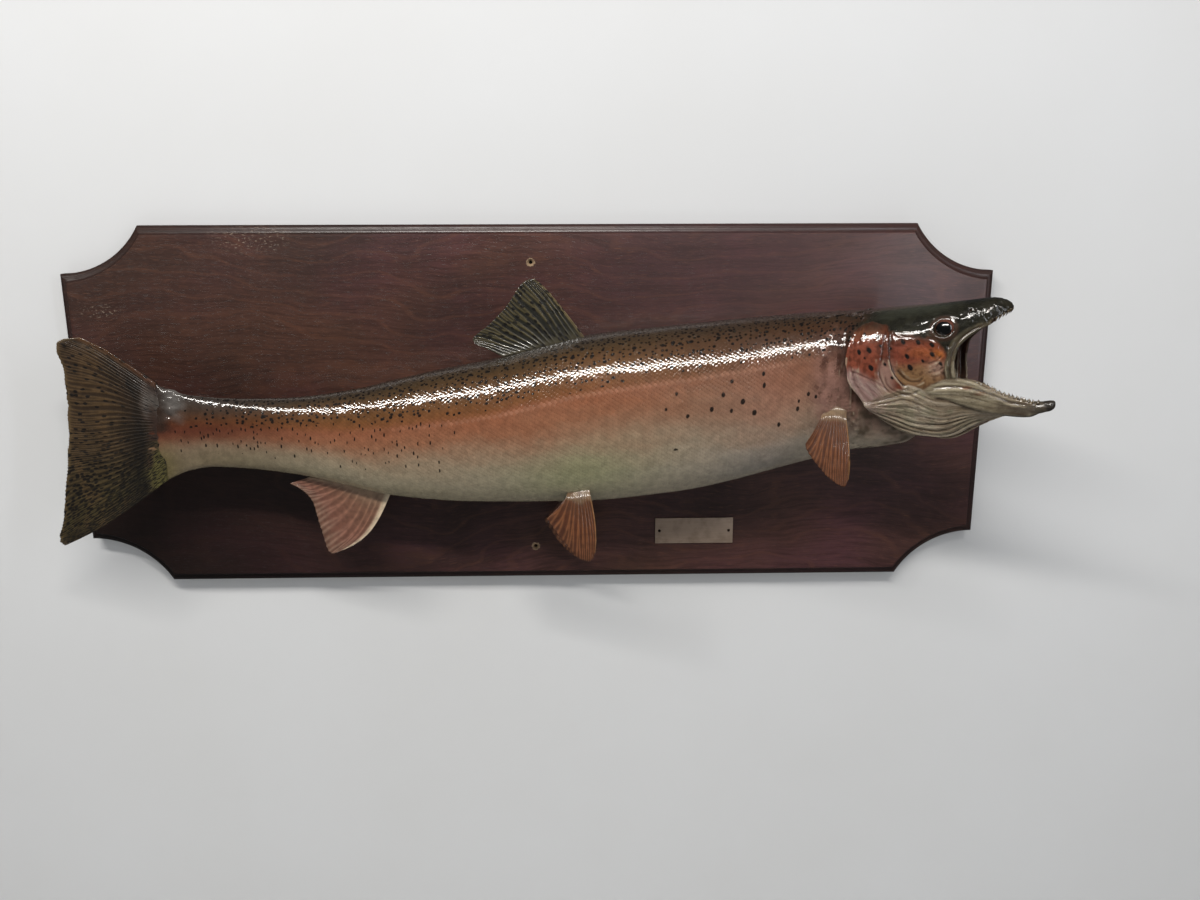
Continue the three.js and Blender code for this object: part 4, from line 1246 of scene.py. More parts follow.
def lattice(far):
    """Stations and arcs of the scales' middles, row by row from the lateral line."""
    stations = [SCALE_FRONT]
    while stations[-1] > SCALE_REAR:
        stations.append(stations[-1] - SCALE_STEP * scale_size(stations[-1]))
    stations = np.array(stations)
    column, row = np.meshgrid(np.arange(len(stations)), np.arange(-46, 34), indexing="ij")
    station = stations[column].ravel()
    arc = ((row + 0.5 * (column % 2)).ravel()) * ROW_STEP * scale_size(station)
    station = station + rng.normal(0, 0.12, len(station))
    arc = arc + rng.normal(0, 0.12, len(arc))
    keep = (arc < 0.985 * arc_above(station)) & (arc > -0.985 * arc_below(station))
    points = skin_point(station, arc, far)
    keep &= points[:, 1] > FLAT_SIDE + 3.0
    return station[keep], arc[keep]


# %% Shape, paint and unwrap the scales
def scales(name, far, rear, front):
    station, arc = lattice(far)
    keep = (station >= rear) & (station < front)
    station, arc = station[keep], arc[keep]
    count = len(station)
    size = scale_size(station)
    ahead = skin_point(station + 0.6, arc, far)
    behind = skin_point(station - 0.6, arc, far)
    above = skin_point(station, arc + 0.6, far)
    below = skin_point(station, arc - 0.6, far)
    normal = np.cross(above - below, ahead - behind) * (-1 if far else 1)
    normal /= np.linalg.norm(normal, axis=1, keepdims=True)
    p, q = np.meshgrid(PLATE_RINGS, np.linspace(-1, 1, 5), indexing="ij")
    p, q = p.ravel(), q.ravel()
    along = 0.42 - p * (0.72 + 0.28 * (1 - q**2))
    across = q * (0.5 - 0.1 * p**3)
    rise = np.repeat(PLATE_RISE, 5) + (0.10 * (1 - q**2) - 0.04) * (p < 1.01)
    local_station = station[:, None] + 5.3 * size[:, None] * along
    local_arc = arc[:, None] + 4.5 * size[:, None] * across
    fade = ease(-station, -SCALE_FRONT, -238) * (0.75 + 0.25 * ease(-station, 290, 240))
    tilt_p, tilt_q = rng.normal(0, 1, (2, count, 1)) * (
        0.04 + 0.05 * ease(-station, -40, 180)[:, None])
    lift = (rise + tilt_p * p + tilt_q * q * p) * size[:, None]
    lift = np.where(p > 1.01, 0.0, lift) * fade[:, None] + 0.06
    points = skin_point(local_station.ravel(), local_arc.ravel(), far)
    lift = lift.ravel() + body_lumps(points)
    points += np.repeat(normal, PLATE_POINTS, axis=0) * lift[:, None]
    quads = net_faces(5, 5)[None] + PLATE_POINTS * np.arange(count)[:, None, None]
    quads = quads.reshape(-1, 4)
    if far:
        quads = quads[:, ::-1]
    piece = quad_object(name, bend(points), quads)
    paint_scales(piece.data, station, arc, far, local_station, local_arc, p)
    bake_patches(piece.data, station, arc, far, p, q)
    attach(piece, "root")
    print(name, count, "scales,", 2 * len(quads), "triangles")
    return piece


def paint_scales(mesh, station, arc, far, local_station, local_arc, p):
    """Each scale takes the skin's paint at its root, a little lighter or darker."""
    drift = spray_drift(skin_point(station, arc, far))
    colour = flank_paint(station, place_of(station, arc), drift)
    colour = colour * (1 + rng.normal(0, 0.035, len(station)))[:, None]
    colour = np.clip(np.repeat(colour, PLATE_POINTS, axis=0), 0, 1)
    stations, arcs = local_station.ravel(), local_arc.ravel()
    flank = np.clip(place_of(stations, arcs), -1, 1)
    give_paint(mesh, colour, lay_of(stations, flank, far), spot_density(stations, flank))
    give(mesh, "scale_edge", "FLOAT", np.tile(p, len(station)))


def bake_patches(mesh, station, arc, far, p, q):
    """A small UV patch for each scale, at its root's place on the unrolled skin."""
    u = 0.01 + 0.98 * (station - STALK_END) / (NAPE - STALK_END)
    v = (0.75 if far else 0.25) + 0.235 * place_of(station, arc)
    local = np.stack([0.0015 - 0.0028 * p / 1.04, 0.0014 * q], axis=1)
    uv = (np.stack([u, v], axis=1)[:, None] + local[None]).reshape(-1, 2)
    index = np.empty(len(mesh.loops), np.int32)
    mesh.loops.foreach_get("vertex_index", index)
    layer = mesh.uv_layers.new(name="OFBake")
    layer.data.foreach_set("uv", uv[index].astype(np.float32).ravel())


scale_pieces = [
    scales("scales_near_rear", False, -320, -90), scales("scales_near_middle", False, -90, 90),
    scales("scales_near_front", False, 90, 280),
    scales("scales_far_rear", True, -320, -40), scales("scales_far_front", True, -40, 280)]

# %% [markdown]
# ## Fins
# A fin is a thin web stretched over bony rays. Each ray leaves the body as one rod, forks halfway
# and is cut into short segments; the web between the rays is thinner and its edge a little torn.
# Rays could be separate rods, but here one net swells over each of them, so nothing can gape.

# %% Fins from their rays
def fin(name, root, edge, foot, bow, rays, rows, seed, wear=0.014, rib=1.0, dive=0.0):
    """Builds a fin and returns the piece with its ray numbers, lengths and ray heights."""
    random = np.random.default_rng(seed)
    columns = rays * 10 + 1
    u, v = grid(columns, rows)
    v = -0.05 - 0.03 * np.sin(np.pi * u) + (1.05 + 0.03 * np.sin(np.pi * u)) * v
    sway = 0.012 * np.sin(6 * v + 9 * u) * v
    number = u * rays
    astray = np.append(random.uniform(-0.14, 0.14, rays), 0)
    part = number % 1 - 0.5 - astray[np.floor(number).astype(int)]
    fork = 0.25 * ease(v, 0.3, 0.95)
    rod = np.exp(-((np.abs(part) - fork) / (0.17 - 0.06 * v)) ** 2)
    first = np.exp(-(u / 0.035) ** 2)
    rod = np.maximum(rod, first)
    trim = np.interp(number, np.arange(rays + 1), random.uniform(0, wear, rays + 1))
    trim = trim + (0.007 * (1 - rod) + random.uniform(0, 0.004, columns)[
        np.arange(len(u)) % columns]) * ease(u, 0.02, 0.08)
    reach = np.clip(v, -1, 1) * (1 - trim * ease(v, 0.75, 1))
    at = np.clip(u + sway, 0, 1)
    start, end = root(at), edge(at)
    arch = np.sin(np.pi * np.clip(reach, 0, 1))[:, None] * np.array(bow(at)).T
    points = start * (1 - reach[:, None]) + end * reach[:, None] + arch
    ripple = 0.5 * np.sin(5 * u + 3 * v + seed) + 0.25 * value_noise(points, 7.0, seed)
    points[:, 1] += ripple * ease(v, 0.1, 0.9)
    points[:, 1] -= dive * np.sign(points[:, 1]) * ease(-v, -0.07, 0.06)
    span = np.linalg.norm(edge(u) - root(u), axis=1)
    web = foot / 2 * (1 - np.clip(v, 0, 1)) ** 3.2 + 0.26
    height = rib * (0.62 - 0.36 * np.clip(v, 0, 1)) * (0.8 + 0.5 * first)
    half = web + height * rod * ease(v, -0.02, 0.1) - 0.05 * (1 - rod)
    half *= np.where(np.isclose(v, 1), 0.45, 1)
    both, faces = sheet(points, rows, columns, half, half)
    piece = quad_object(name, bend(both), np.array(faces))
    data = [np.tile(x, 2) for x in (u, v, number, span * v, rod)]
    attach(piece, "root")
    return piece, data


def paint_fin(piece, colour, data, dash):
    _, _, number, along, rod = data
    mesh = piece.data
    give(mesh, "tint", "FLOAT_COLOR", np.c_[np.clip(colour, 0, 1), np.ones(len(colour))])
    give(mesh, "ray", "FLOAT_VECTOR", xyz(number, along, rod))
    give(mesh, "dash", "FLOAT", dash)


# %% Tail fin
tail, data = fin(
    "trout_tail_fin",
    path(*[[STALK_END, 0, z] for z in (36.6, 14, -9, -32, -54.6)]),
    path([-381, 0, 75], [-398.5, 0, 71.4], [-396.2, 0, 43.8], [-397, 0, 5.7], [-400, 0, -20],
         [-404, 0, -43], [-411, 0, -80], [-417.2, 0, -104], [-414.6, 0, -109.3]),
    7, lambda u: [0 * u, 0 * u, np.where(u < 0.5, 3 * (1 - 2 * u), -5 * (2 * u - 1))],
    rays=42, rows=80, seed=21, wear=0.016, rib=0.5)
u, v, number, along, rod = data
mottle = value_noise(np.c_[along, 60 * u, 0 * u], 9.0, 41)
mottle = mottle + 0.6 * value_noise(np.c_[0.5 * along, 90 * u, 0 * u], 4.0, 42)
colour = ramp(u, (0, "#33241a"), (0.3, "#41301f"), (0.55, "#3c2e1e"), (0.8, "#36321c"),
              (1, "#292215"))
colour = spray(colour,
    ("#1f170e", 0.5 * ease(mottle, 0, 1)),
    ("#564028", 0.4 * ease(-mottle, 0, 1)),
    ("#150f09", 0.55 * (1 - rod) * ease(v, 0.03, 0.2)),
    ("#64502f", 0.25 * rod * ease(v, 0.1, 0.5)),
    ("#15110c", 0.75 * patch(v, u, (0.2, 0.42), (0.13, 0.6))))
root_edge = ease(-v - 0.05 * mottle, -0.16, -0.04)
colour = spray(colour,
    ("#33241d", root_edge),
    ("#4f4a28", root_edge * ease(u + 0.1 * mottle, 0.6, 0.8)),
    # pale grey at the fin's root, partly a painted highlight
    ("#56524d", 0.7 * root_edge * patch(0, u + 0.06 * mottle, (0, 0.22), (1, 0.12))),
    ("#5c3a24", 0.5 * ease(-u, -0.06, 0)),
    ("#6f5c3c", 0.4 * ease(v, 0.95, 1)))
paint_fin(tail, colour, data, 0.16 + 0.6 * ease(u, 0.4, 0.75))
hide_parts("tail_fin")

# %% Dorsal and anal fins
dorsal, data = fin(
    "trout_dorsal_fin",
    path(*[[s, 0, float(trunk_top(s)) + lift] for s, lift in
           ((46.5, 0.5), (23, 0.6), (0, 0.6), (-24, 0.5))]),
    path([5, 0, 122], [-4, 0, 120], [-18, 0, 100.8], [-34, 0, 84], [-49, 0, 71], [-47, 0, 67]),
    5, lambda u: [0 * u, 0 * u, 3 * (1 - u)], rays=16, rows=64, seed=22, rib=0.75)
u, v, number, along, rod = data
colour = ramp(v, (0, "#3f3a2b"), (0.2, "#2f2d20"), (1, "#2a271b"))
colour = spray(colour,
    ("#121310", 0.75 * (1 - rod) * ease(v, 0.02, 0.16)),
    ("#5f5433", 0.55 * rod * ease(v, 0.06, 0.4)),
    ("#7d6b4a", 0.5 * ease(-u, -0.05, 0)))
paint_fin(dorsal, colour, data, 0.42 + 0 * u)
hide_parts("dorsal_fin")

anal, data = fin(
    "trout_anal_fin",
    path(*[[s, 0, float(trunk_low(s)) - 0.5] for s in (-126, -148, -170, -196)]),
    path([-170, 0, -118], [-182, 0, -121.5], [-190, 0, -97], [-197, 0, -70], [-206, 0, -61],
         [-214, 0, -56.5]),
    5, lambda u: [4 * (1 - u), 0 * u, -7 * (1 - u)], rays=12, rows=64, seed=23)
u, v, number, along, rod = data
colour = ramp(v, (0, "#86705a"), (0.25, "#8a6450"), (0.7, "#85594a"), (1, "#785848"))
colour = spray(colour,
    ("#4a2e22", 0.5 * (1 - rod) * ease(v, 0.02, 0.2)),
    ("#d3c4a8", 0.7 * ease(-u, -0.09, -0.02)),
    ("#a08c79", 0.3 * rod * ease(v, 0.5, 0.9)))
paint_fin(anal, colour, data, 0 * u)
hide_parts("anal_fin")


# %% Pelvic and pectoral fins
def paired_fin(name, node, root, edge, foot, bow, rays, rows, seed):
    piece, data = fin(name, root, edge, foot, bow, rays, rows, seed, dive=3.5)
    u, v, _, along, rod = data
    colour = ramp(v, (0, "#765e44"), (0.12, "#664026"), (0.5, "#62361d"), (1, "#583322"))
    colour = spray(colour,
        ("#361c10", 0.55 * (1 - rod) * ease(v, 0.02, 0.16)),
        ("#97663f", 0.3 * rod * ease(v, 0.1, 0.5)),
        ("#957048", 0.6 * ease(-u, -0.06, -0.01)))
    fleshy = value_noise(np.c_[along, 12 * u, 0 * u], 2.5, seed)
    colour = spray(colour,
        ("#7b6750", 0.8 * ease(-v + 0.05 * fleshy, -0.17, -0.01)),
        ("#4b3022", 0.5 * ease(-v, -0.12, 0) * ease(fleshy, 0, 0.6)))
    paint_fin(piece, colour, data, 0 * u)
    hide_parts(node)
    return piece


fins = [tail, dorsal, anal]
fins.append(paired_fin(
    "trout_pelvic_fin_near", "pelvic_fin_near",
    path([51, 33, -58], [41, 32.4, -59.6], [31.5, 32, -61]),
    path([55, 40, -110], [52, 40.6, -117], [43, 40, -116.5], [28, 38, -100], [13.5, 36, -80]),
    3.4, lambda u: [2.5 * (1 - u), 2 + 0 * u, 0 * u], 10, 60, 24))
fins.append(paired_fin(
    "trout_pelvic_fin_far", "pelvic_fin_far",
    path([51, -16, -71.6], [41, -16.4, -72.2], [31.5, -17, -72.4]),
    path([53, -22, -132], [49, -22.4, -139], [40, -22, -137], [26, -21, -124], [9, -20, -98]),
    3.4, lambda u: [2.5 * (1 - u), -2 + 0 * u, 0 * u], 10, 60, 25))
fins.append(paired_fin(
    "trout_pectoral_fin_near", "pectoral_fin_near",
    path([283, 43.6, 14], [271, 45.4, 15], [259, 46.4, 11]),
    path([294, 58, -36], [290, 59, -43], [280, 59, -41], [262, 57, -31], [244, 53, -15],
         [243, 52, -11]),
    4.4, lambda u: [3 * (1 - u), 2.5 + 0 * u, 0 * u], 13, 64, 26))
fins.append(paired_fin(
    "trout_pectoral_fin_far", "pectoral_fin_far",
    path([283, -43.6, 14], [273, -45.4, 17], [263, -46.4, 18]),
    path([250, -54, -20], [242, -52.4, -22], [232, -49.6, -14], [224, -48.6, 2],
         [222, -48.3, 14], [226, -48.5, 18]),
    4.4, lambda u: [0 * u, -1.6 + 0 * u, -3 * (1 - u)], 13, 64, 27))
print("fins:", [piece.name for piece in fins])

# %% [markdown]
# ## Eyes, teeth and the hooked tip
# The eyes are glass domes set in the sockets, painted from behind: a black pupil and a thin brown
# ring. The teeth are small hooked cones, and the tip of an old male's lower jaw is a dark knob.
# All three are plain rings of points, because each is round about an axis.

# %% Glass eyes
def ellipsoid(middle, radii, columns=64, rows=40):
    """A closed globe whose poles point sideways."""
    turn = round_turn(columns)
    rings = [xyz(np.sin(tilt) * np.cos(turn), np.cos(tilt), np.sin(tilt) * np.sin(turn))
             for tilt in np.linspace(0.02, np.pi - 0.02, rows)]
    return loft(np.array(rings) * radii + middle)


eyes = []
for flank, name in ((1, "eye_near"), (-1, "eye_far")):
    points, faces = ellipsoid([EYE_STATION, EYE_SIDE, EYE_HEIGHT],
                              [EYE_LONG * 0.97, EYE_DEEP, EYE_TALL * 0.97])
    points = points * [1, flank, 1]
    eye = make_object("glass_" + name, bend(points), faces)
    across = (points - [EYE_STATION, 0, EYE_HEIGHT]) / [EYE_LONG, 1, EYE_TALL]
    give(eye.data, "dial", "FLOAT", np.hypot(across[:, 0], across[:, 2]))
    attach(eye, "root")
    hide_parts(name)
    eyes.append(eye)


# %% Teeth
def tooth(base, tip, hook, radius):
    """A hooked cone from its base to its tip."""
    base, tip = np.array(base, float), np.array(tip, float)
    axis = (tip - base) / np.linalg.norm(tip - base)
    side = np.cross(axis, [0, 1, 0])
    side /= np.linalg.norm(side)
    other = np.cross(axis, side)
    turn = round_turn(12)
    rings = []
    for t in (0, 0.15, 0.35, 0.55, 0.75, 0.9, 1.0):
        middle = base + (tip - base) * t + np.array(hook) * t * t
        size = radius * max(1 - t**1.3, 0.04)
        rings.append(middle + size * (np.cos(turn)[:, None] * side + np.sin(turn)[:, None] * other))
    return loft(np.array(rings))


teeth = []
for flank in (-1, 1):
    for station in (380.5, 384.6, 388.5, 391.2, 393.8, 396.4, 398.6, 400.2):
        side = float(head_side(station)) * 0.93 * flank
        low = float(head_low(station))
        size = rng.uniform(0.85, 1.15) * (1 if station > 387 else 0.6)
        teeth.append(tooth([station, side, low + 1.4], [station - 0.2, side * 0.98, low - 2.8 * size],
                           [-1.1, 0, 0], 1.1))
    for station in np.linspace(382, 426, 14):
        station += rng.uniform(-0.7, 0.7)
        side = float(jaw_side(station)) * 0.86
        drop = JAW_SKEW * (jaw_side(station) - side * flank)
        top = float(jaw_top(station) - drop)
        size = rng.uniform(0.65, 1.2)
        teeth.append(tooth([station, side * flank, top - 1.0],
                           [station + 0.1, side * flank, top + 2.1 * size], [-0.8, 0, 0], 1.3))
print("teeth:", len(teeth))
points, faces = joined(teeth)
teeth = make_object("trout_teeth", bend(points), faces)
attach(teeth, "root")

# %% Hooked tip of the lower jaw
knob = path([418, 4.2, 25.4, 4.4], [424, 4.6, 25.6, 5.2], [428, 4.1, 26.2, 4.8],
            [431.5, 3.9, 27.3, 4.5], [434.5, 3.7, 28.2, 4.4], [436.8, 2.9, 28.9, 3.6],
            [438.1, 1.6, 29.2, 2.2], [438.5, 0.2, 29.3, 0.3])
rings = [oval(*row, round_turn(64)) for row in knob(np.linspace(0, 1, 60))]
points, faces = loft(np.array(rings))
points += 0.22 * value_noise(points, 2.2, 31)[:, None] * [0.2, 1, 1]
kype = make_object("trout_kype", bend(points), faces)
give(kype.data, "blend", "FLOAT", ease(points[:, 0] + 0.5 * (points[:, 2] - 26), 430, 434.5))
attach(kype, "root")
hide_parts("kype")
print("hooked tip:", len(kype.data.polygons), "faces")

# %% [markdown]
# ## Wall plaque
# The board is 20 mm of stained hardwood with a round bite out of each corner. A cutter has run
# round its edge: a quarter round, a small step and a shallow hollow up to the flat face. The same
# outline, drawn in by the cutter's profile, gives that moulding with clean mitres.

# %% Shape the board
PLAQUE_WIDTH, PLAQUE_HEIGHT, PLAQUE_THICKNESS = 840.0, 332.0, 20.0
NOTCH_WIDTH, NOTCH_HEIGHT = 72.0, 42.0
EDGE_PROFILE = [  # inset from the outline, distance behind the front face
    (0, 10), (0.12, 8.8), (0.5, 7.7), (1.1, 6.8), (1.9, 6.0), (2.9, 5.4), (3.3, 5.2), (3.5, 4.9),
    (3.9, 4.7), (5.0, 4.5), (6.2, 4.0), (7.1, 3.2), (7.6, 2.3), (7.8, 1.2), (8.0, 0.5),
    (8.4, 0.12), (9.0, 0)]


def plaque_outline(inset, depth):
    bite = (NOTCH_WIDTH**2 - NOTCH_HEIGHT**2) / (2 * NOTCH_HEIGHT) + NOTCH_HEIGHT
    middle = (PLAQUE_WIDTH / 2, PLAQUE_HEIGHT / 2 + bite - NOTCH_HEIGHT)
    radius = bite + inset
    side, top = PLAQUE_WIDTH / 2 - inset, PLAQUE_HEIGHT / 2 - inset
    start = math.pi + math.asin((middle[1] - top) / radius)
    stop = math.pi + math.acos((middle[0] - side) / radius)
    turn = np.linspace(start, stop, 41)
    x, z = middle[0] + radius * np.cos(turn), middle[1] + radius * np.sin(turn)
    quarter = xyz(x, -depth, z)
    back = quarter[::-1]
    return np.vstack([quarter, back * [1, 1, -1], quarter * [-1, 1, -1], back * [-1, 1, 1]])


def lathe(profile, middle, count=32):
    """A turned body whose axis comes out of the wall: profile of [radius, distance out]."""
    turn = round_turn(count)
    return loft(np.array([xyz(middle[0] + r * np.cos(turn), -out, middle[1] + r * np.sin(turn))
                          for r, out in profile]))


rings = [plaque_outline(1, 0), plaque_outline(0.3, 0.2), plaque_outline(0, 1)]
rings += [plaque_outline(inset, PLAQUE_THICKNESS - behind) for inset, behind in EDGE_PROFILE]
points, faces = loft(np.array(rings))
plaque = make_object("wooden_plaque", points * MM, faces)
for hole in ((0, 133), (0, -133)):
    points, faces = lathe([(1.6, 12), (1.6, 18.4), (1.8, 18.8), (3.1, 20), (3.1, 24)], hole)
    drill = make_object("drill", points * MM, faces)
    cut = plaque.modifiers.new("hole", "BOOLEAN")
    cut.operation, cut.solver, cut.object = "DIFFERENCE", "EXACT", drill
    bake_modifiers(plaque)
    bpy.data.objects.remove(drill)
plaque.data.set_sharp_from_angle(angle=math.radians(32))
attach(plaque, "root")
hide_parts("plaque")
print("plaque:", len(plaque.data.polygons), "faces")

# %% Name plate and its pins
PLATE_MIDDLE = (150.6, -118.5)
plate_low, plate_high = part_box("name_plate")
bm = bmesh.new()
bmesh.ops.create_cube(bm, size=1.0)
bmesh.ops.scale(bm, vec=plate_high - plate_low, verts=bm.verts)
bmesh.ops.translate(bm, vec=(plate_high + plate_low) / 2, verts=bm.verts)
bmesh.ops.bevel(bm, geom=bm.edges[:] + bm.verts[:], offset=0.28 * MM, segments=3, profile=0.5,
                affect="EDGES")
plate_mesh = bpy.data.meshes.new("name_plate_blank")
bm.to_mesh(plate_mesh)
bm.free()
plate = bpy.data.objects.new("name_plate_blank", plate_mesh)
bpy.context.scene.collection.objects.link(plate)
plate.data.polygons.foreach_set("use_smooth", [True] * len(plate.data.polygons))
plate.data.set_sharp_from_angle(angle=math.radians(40))
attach(plate, "root")
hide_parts("name_plate")

pins = []
front = -plate_low.y / MM
for side_name, offset in (("left", -33), ("right", 33)):
    dome_profile = [(1.4 * math.cos(a), front + 0.02 + 0.85 * math.sin(a))
                    for a in np.linspace(0, 1.5, 12)]
    points, faces = lathe([(1.15, front - 0.02), (1.38, front)] + dome_profile,
                          (PLATE_MIDDLE[0] + offset, PLATE_MIDDLE[1]), 36)
    pin = make_object("plate_nail_" + side_name, points * MM, faces)
    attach(pin, "root")
    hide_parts("plate_pin_" + side_name)
    pins.append(pin)
print("plate and pins:", [round(v / MM, 1) for v in plate_high - plate_low], len(pins))

# %% [markdown]
# ## Materials
# Each surface starts from the real stuff and how it was worked: dried skin sprayed with thinned
# paint and brushed with clear lacquer, painted glass, stained and varnished board, gilt brass. One
# small function adds a shader node with its settings and links. Patterns are counted in
# millimetres, so a pore or a streak has its real size.

# %% A helper for shader nodes
METRE = 1000.0  # places are in metres: METRE / 6 repeats a pattern every 6 mm
SMOOTH = {"interpolation_type": "SMOOTHSTEP"}
TIMES = {"operation": "MULTIPLY"}


def adder(tree):
    """The one function that adds shader nodes, made ready for a node tree."""
    def add(kind, inputs=(), **settings):
        """Adds a node and returns its outputs; inputs go by order, or by number or name."""
        made = tree.nodes.new("ShaderNode" + kind)
        for key, value in settings.items():
            setattr(made, key, value)
        for key, value in inputs.items() if isinstance(inputs, dict) else enumerate(inputs):
            if isinstance(value, bpy.types.NodeSocket):
                tree.links.new(value, made.inputs[key])
            else:
                made.inputs[key].default_value = value
        return made.outputs
    return add


def repeats(*sizes):
    """How often a pattern repeats in a metre along each axis, from its sizes in millimetres."""
    return [METRE / size for size in sizes]


def rgba(code):
    return (*linear(code), 1.0)


def shaded(add, colour, pattern, low, high, dark, light):
    """The colour made darker and lighter by a pattern, like thin paint on a rough ground."""
    shade = add("MapRange", [pattern, low, high, dark, light], **SMOOTH)[0]
    return add("Mix", {0: 1.0, 6: colour, 7: shade}, data_type="RGBA",
               blend_type="MULTIPLY")[2]


def laid_over(add, colour, code, pattern, low, high, amount=1.0):
    """Another colour laid over this one where a pattern passes from low to high."""
    cover = add("MapRange", [pattern, low, high, 0.0, amount], **SMOOTH)[0]
    return add("Mix", {0: cover, 6: colour, 7: rgba(code)}, data_type="RGBA")[2]


# %% A helper for surfaces
def new_material(name, **surface):
    """A material with a principled shader; returns it, the shader and its node adder."""
    made = bpy.data.materials.new(name)
    made.use_nodes = True
    shader = made.node_tree.nodes["Principled BSDF"]
    for key, value in surface.items():
        shader.inputs[key.replace("_", " ")].default_value = value
    return made, shader, adder(made.node_tree)


def drive(shader, **outputs):
    """Links outputs to the surface shader."""
    for key, value in outputs.items():
        shader.id_data.links.new(value, shader.inputs[key.replace("_", " ")])


def use(material, *pieces):
    for piece in pieces:
        piece.data.materials.clear()
        piece.data.materials.append(material)


# %% [markdown]
# The spots were dotted on by hand, so each is a little off its place in an even scatter: a cell
# pattern drawn on the unrolled skin gives one spot to a cell. Under the lacquer the paint itself is
# nearly matt. The coat starts at a lacquer's usual IOR of 1.5 and is a little stronger, because it
# was brushed on thickly: it carries all of the wet shine, in glints as sharp as the bumps below.

# %% Airbrushed skin under brushed lacquer
def dots(add, lay, density, spacing, radius, stretch, seed):
    """Hand-dotted spots: one in each cell of a jittered lattice, if the density allows it."""
    place = add("VectorMath", [lay, (seed * 13.7, seed * 7.1, 0)], operation="ADD")[0]
    place = add("VectorMath", [place, (stretch[0] / spacing, stretch[1] / spacing, 1.0)],
                 **TIMES)[0]
    wobble = add("TexNoise", {"Vector": lay, "Scale": 1 / 1.818})[1]
    place = add("VectorMath", [wobble, (0.12, 0.12, 0.0), place],
                operation="MULTIPLY_ADD")[0]
    cells = add("TexVoronoi", {"Vector": place, "Scale": 1.0, "Randomness": 0.92},
                voronoi_dimensions="2D")
    chance = add("SeparateColor", [cells[1]])
    size = add("Math", [chance[1], 0.55 * radius / spacing, 0.7 * radius / spacing],
               operation="MULTIPLY_ADD")[0]
    gap = add("Math", [cells[0], size], operation="SUBTRACT")[0]
    inside = add("MapRange", [gap, 0.05, -0.05, 0.0, 0.95], **SMOOTH)[0]
    chosen = add("Math", [chance[0], density], operation="LESS_THAN")[0]
    return add("Math", [inside, chosen], **TIMES)[0]


SPOTS = [  # attribute, share, spacing and radius in mm, stretch, seed
    ("small", 0.9, 4.2, 1.08, (0.95, 1.0), 1), ("small", 0.5, 7.3, 1.5, (0.9, 1.0), 2),
    ("large", 1.0, 10.5, 1.9, (1.15, 0.9), 3), ("drawn", 1.0, 5.4, 0.95, (1.5, 0.62), 4)]


def airbrushed(name):
    """The paint and spots that skin and scales share."""
    made, shader, add = new_material(
        name, Roughness=0.42, Specular_IOR_Level=0.1, Coat_Weight=1.0, Coat_Roughness=0.05,
        Coat_IOR=1.6)
    place = add("TexCoord")[3]
    blotches = add("TexNoise", {"Vector": place, "Scale": METRE / 6.25, "Detail": 3.0})[0]
    grains = add("TexNoise", {"Vector": place, "Scale": METRE / 0.714})[0]
    tint = add("Attribute", attribute_name="tint")[0]
    colour = shaded(add, tint, blotches, 0.25, 0.75, 0.86, 1.12)
    colour = shaded(add, colour, grains, 0.3, 0.7, 0.93, 1.06)
    lay = add("Attribute", attribute_name="lay")[1]
    for density, share, spacing, radius, stretch, seed in SPOTS:
        density = add("Attribute", attribute_name=density)[2]
        density = add("Math", [density, share], **TIMES)[0]
        mask = dots(add, lay, density, spacing, radius, stretch, seed)
        colour = add("Mix", {0: mask, 6: colour, 7: rgba("#100d0b")}, data_type="RGBA")[2]
    height = add("Math", [grains, 0.35, blotches], operation="MULTIPLY_ADD")[0]
    return made, shader, add, place, colour, height


def lacquered(add, shader, colour, height, distance):
    """Bumps in the paint, and softer ones in the lacquer that levels over them."""
    relief = add("Bump", {"Height": height, "Distance": distance, "Strength": 1.0})[0]
    level = add("Bump", {"Height": height, "Distance": 0.4 * distance, "Strength": 1.0})[0]
    drive(shader, Base_Color=colour, Normal=relief, Coat_Normal=level)


scale_paint, shader, add, place, colour, height = airbrushed("airbrushed_scales_lacquered")
rim = add("Attribute", attribute_name="scale_edge")[2]
colour = laid_over(add, colour, "#3a2a20", rim, 0.6, 1.0, 0.07)
lacquered(add, shader, colour, height, 0.12 * MM)
use(scale_paint, *scale_pieces)
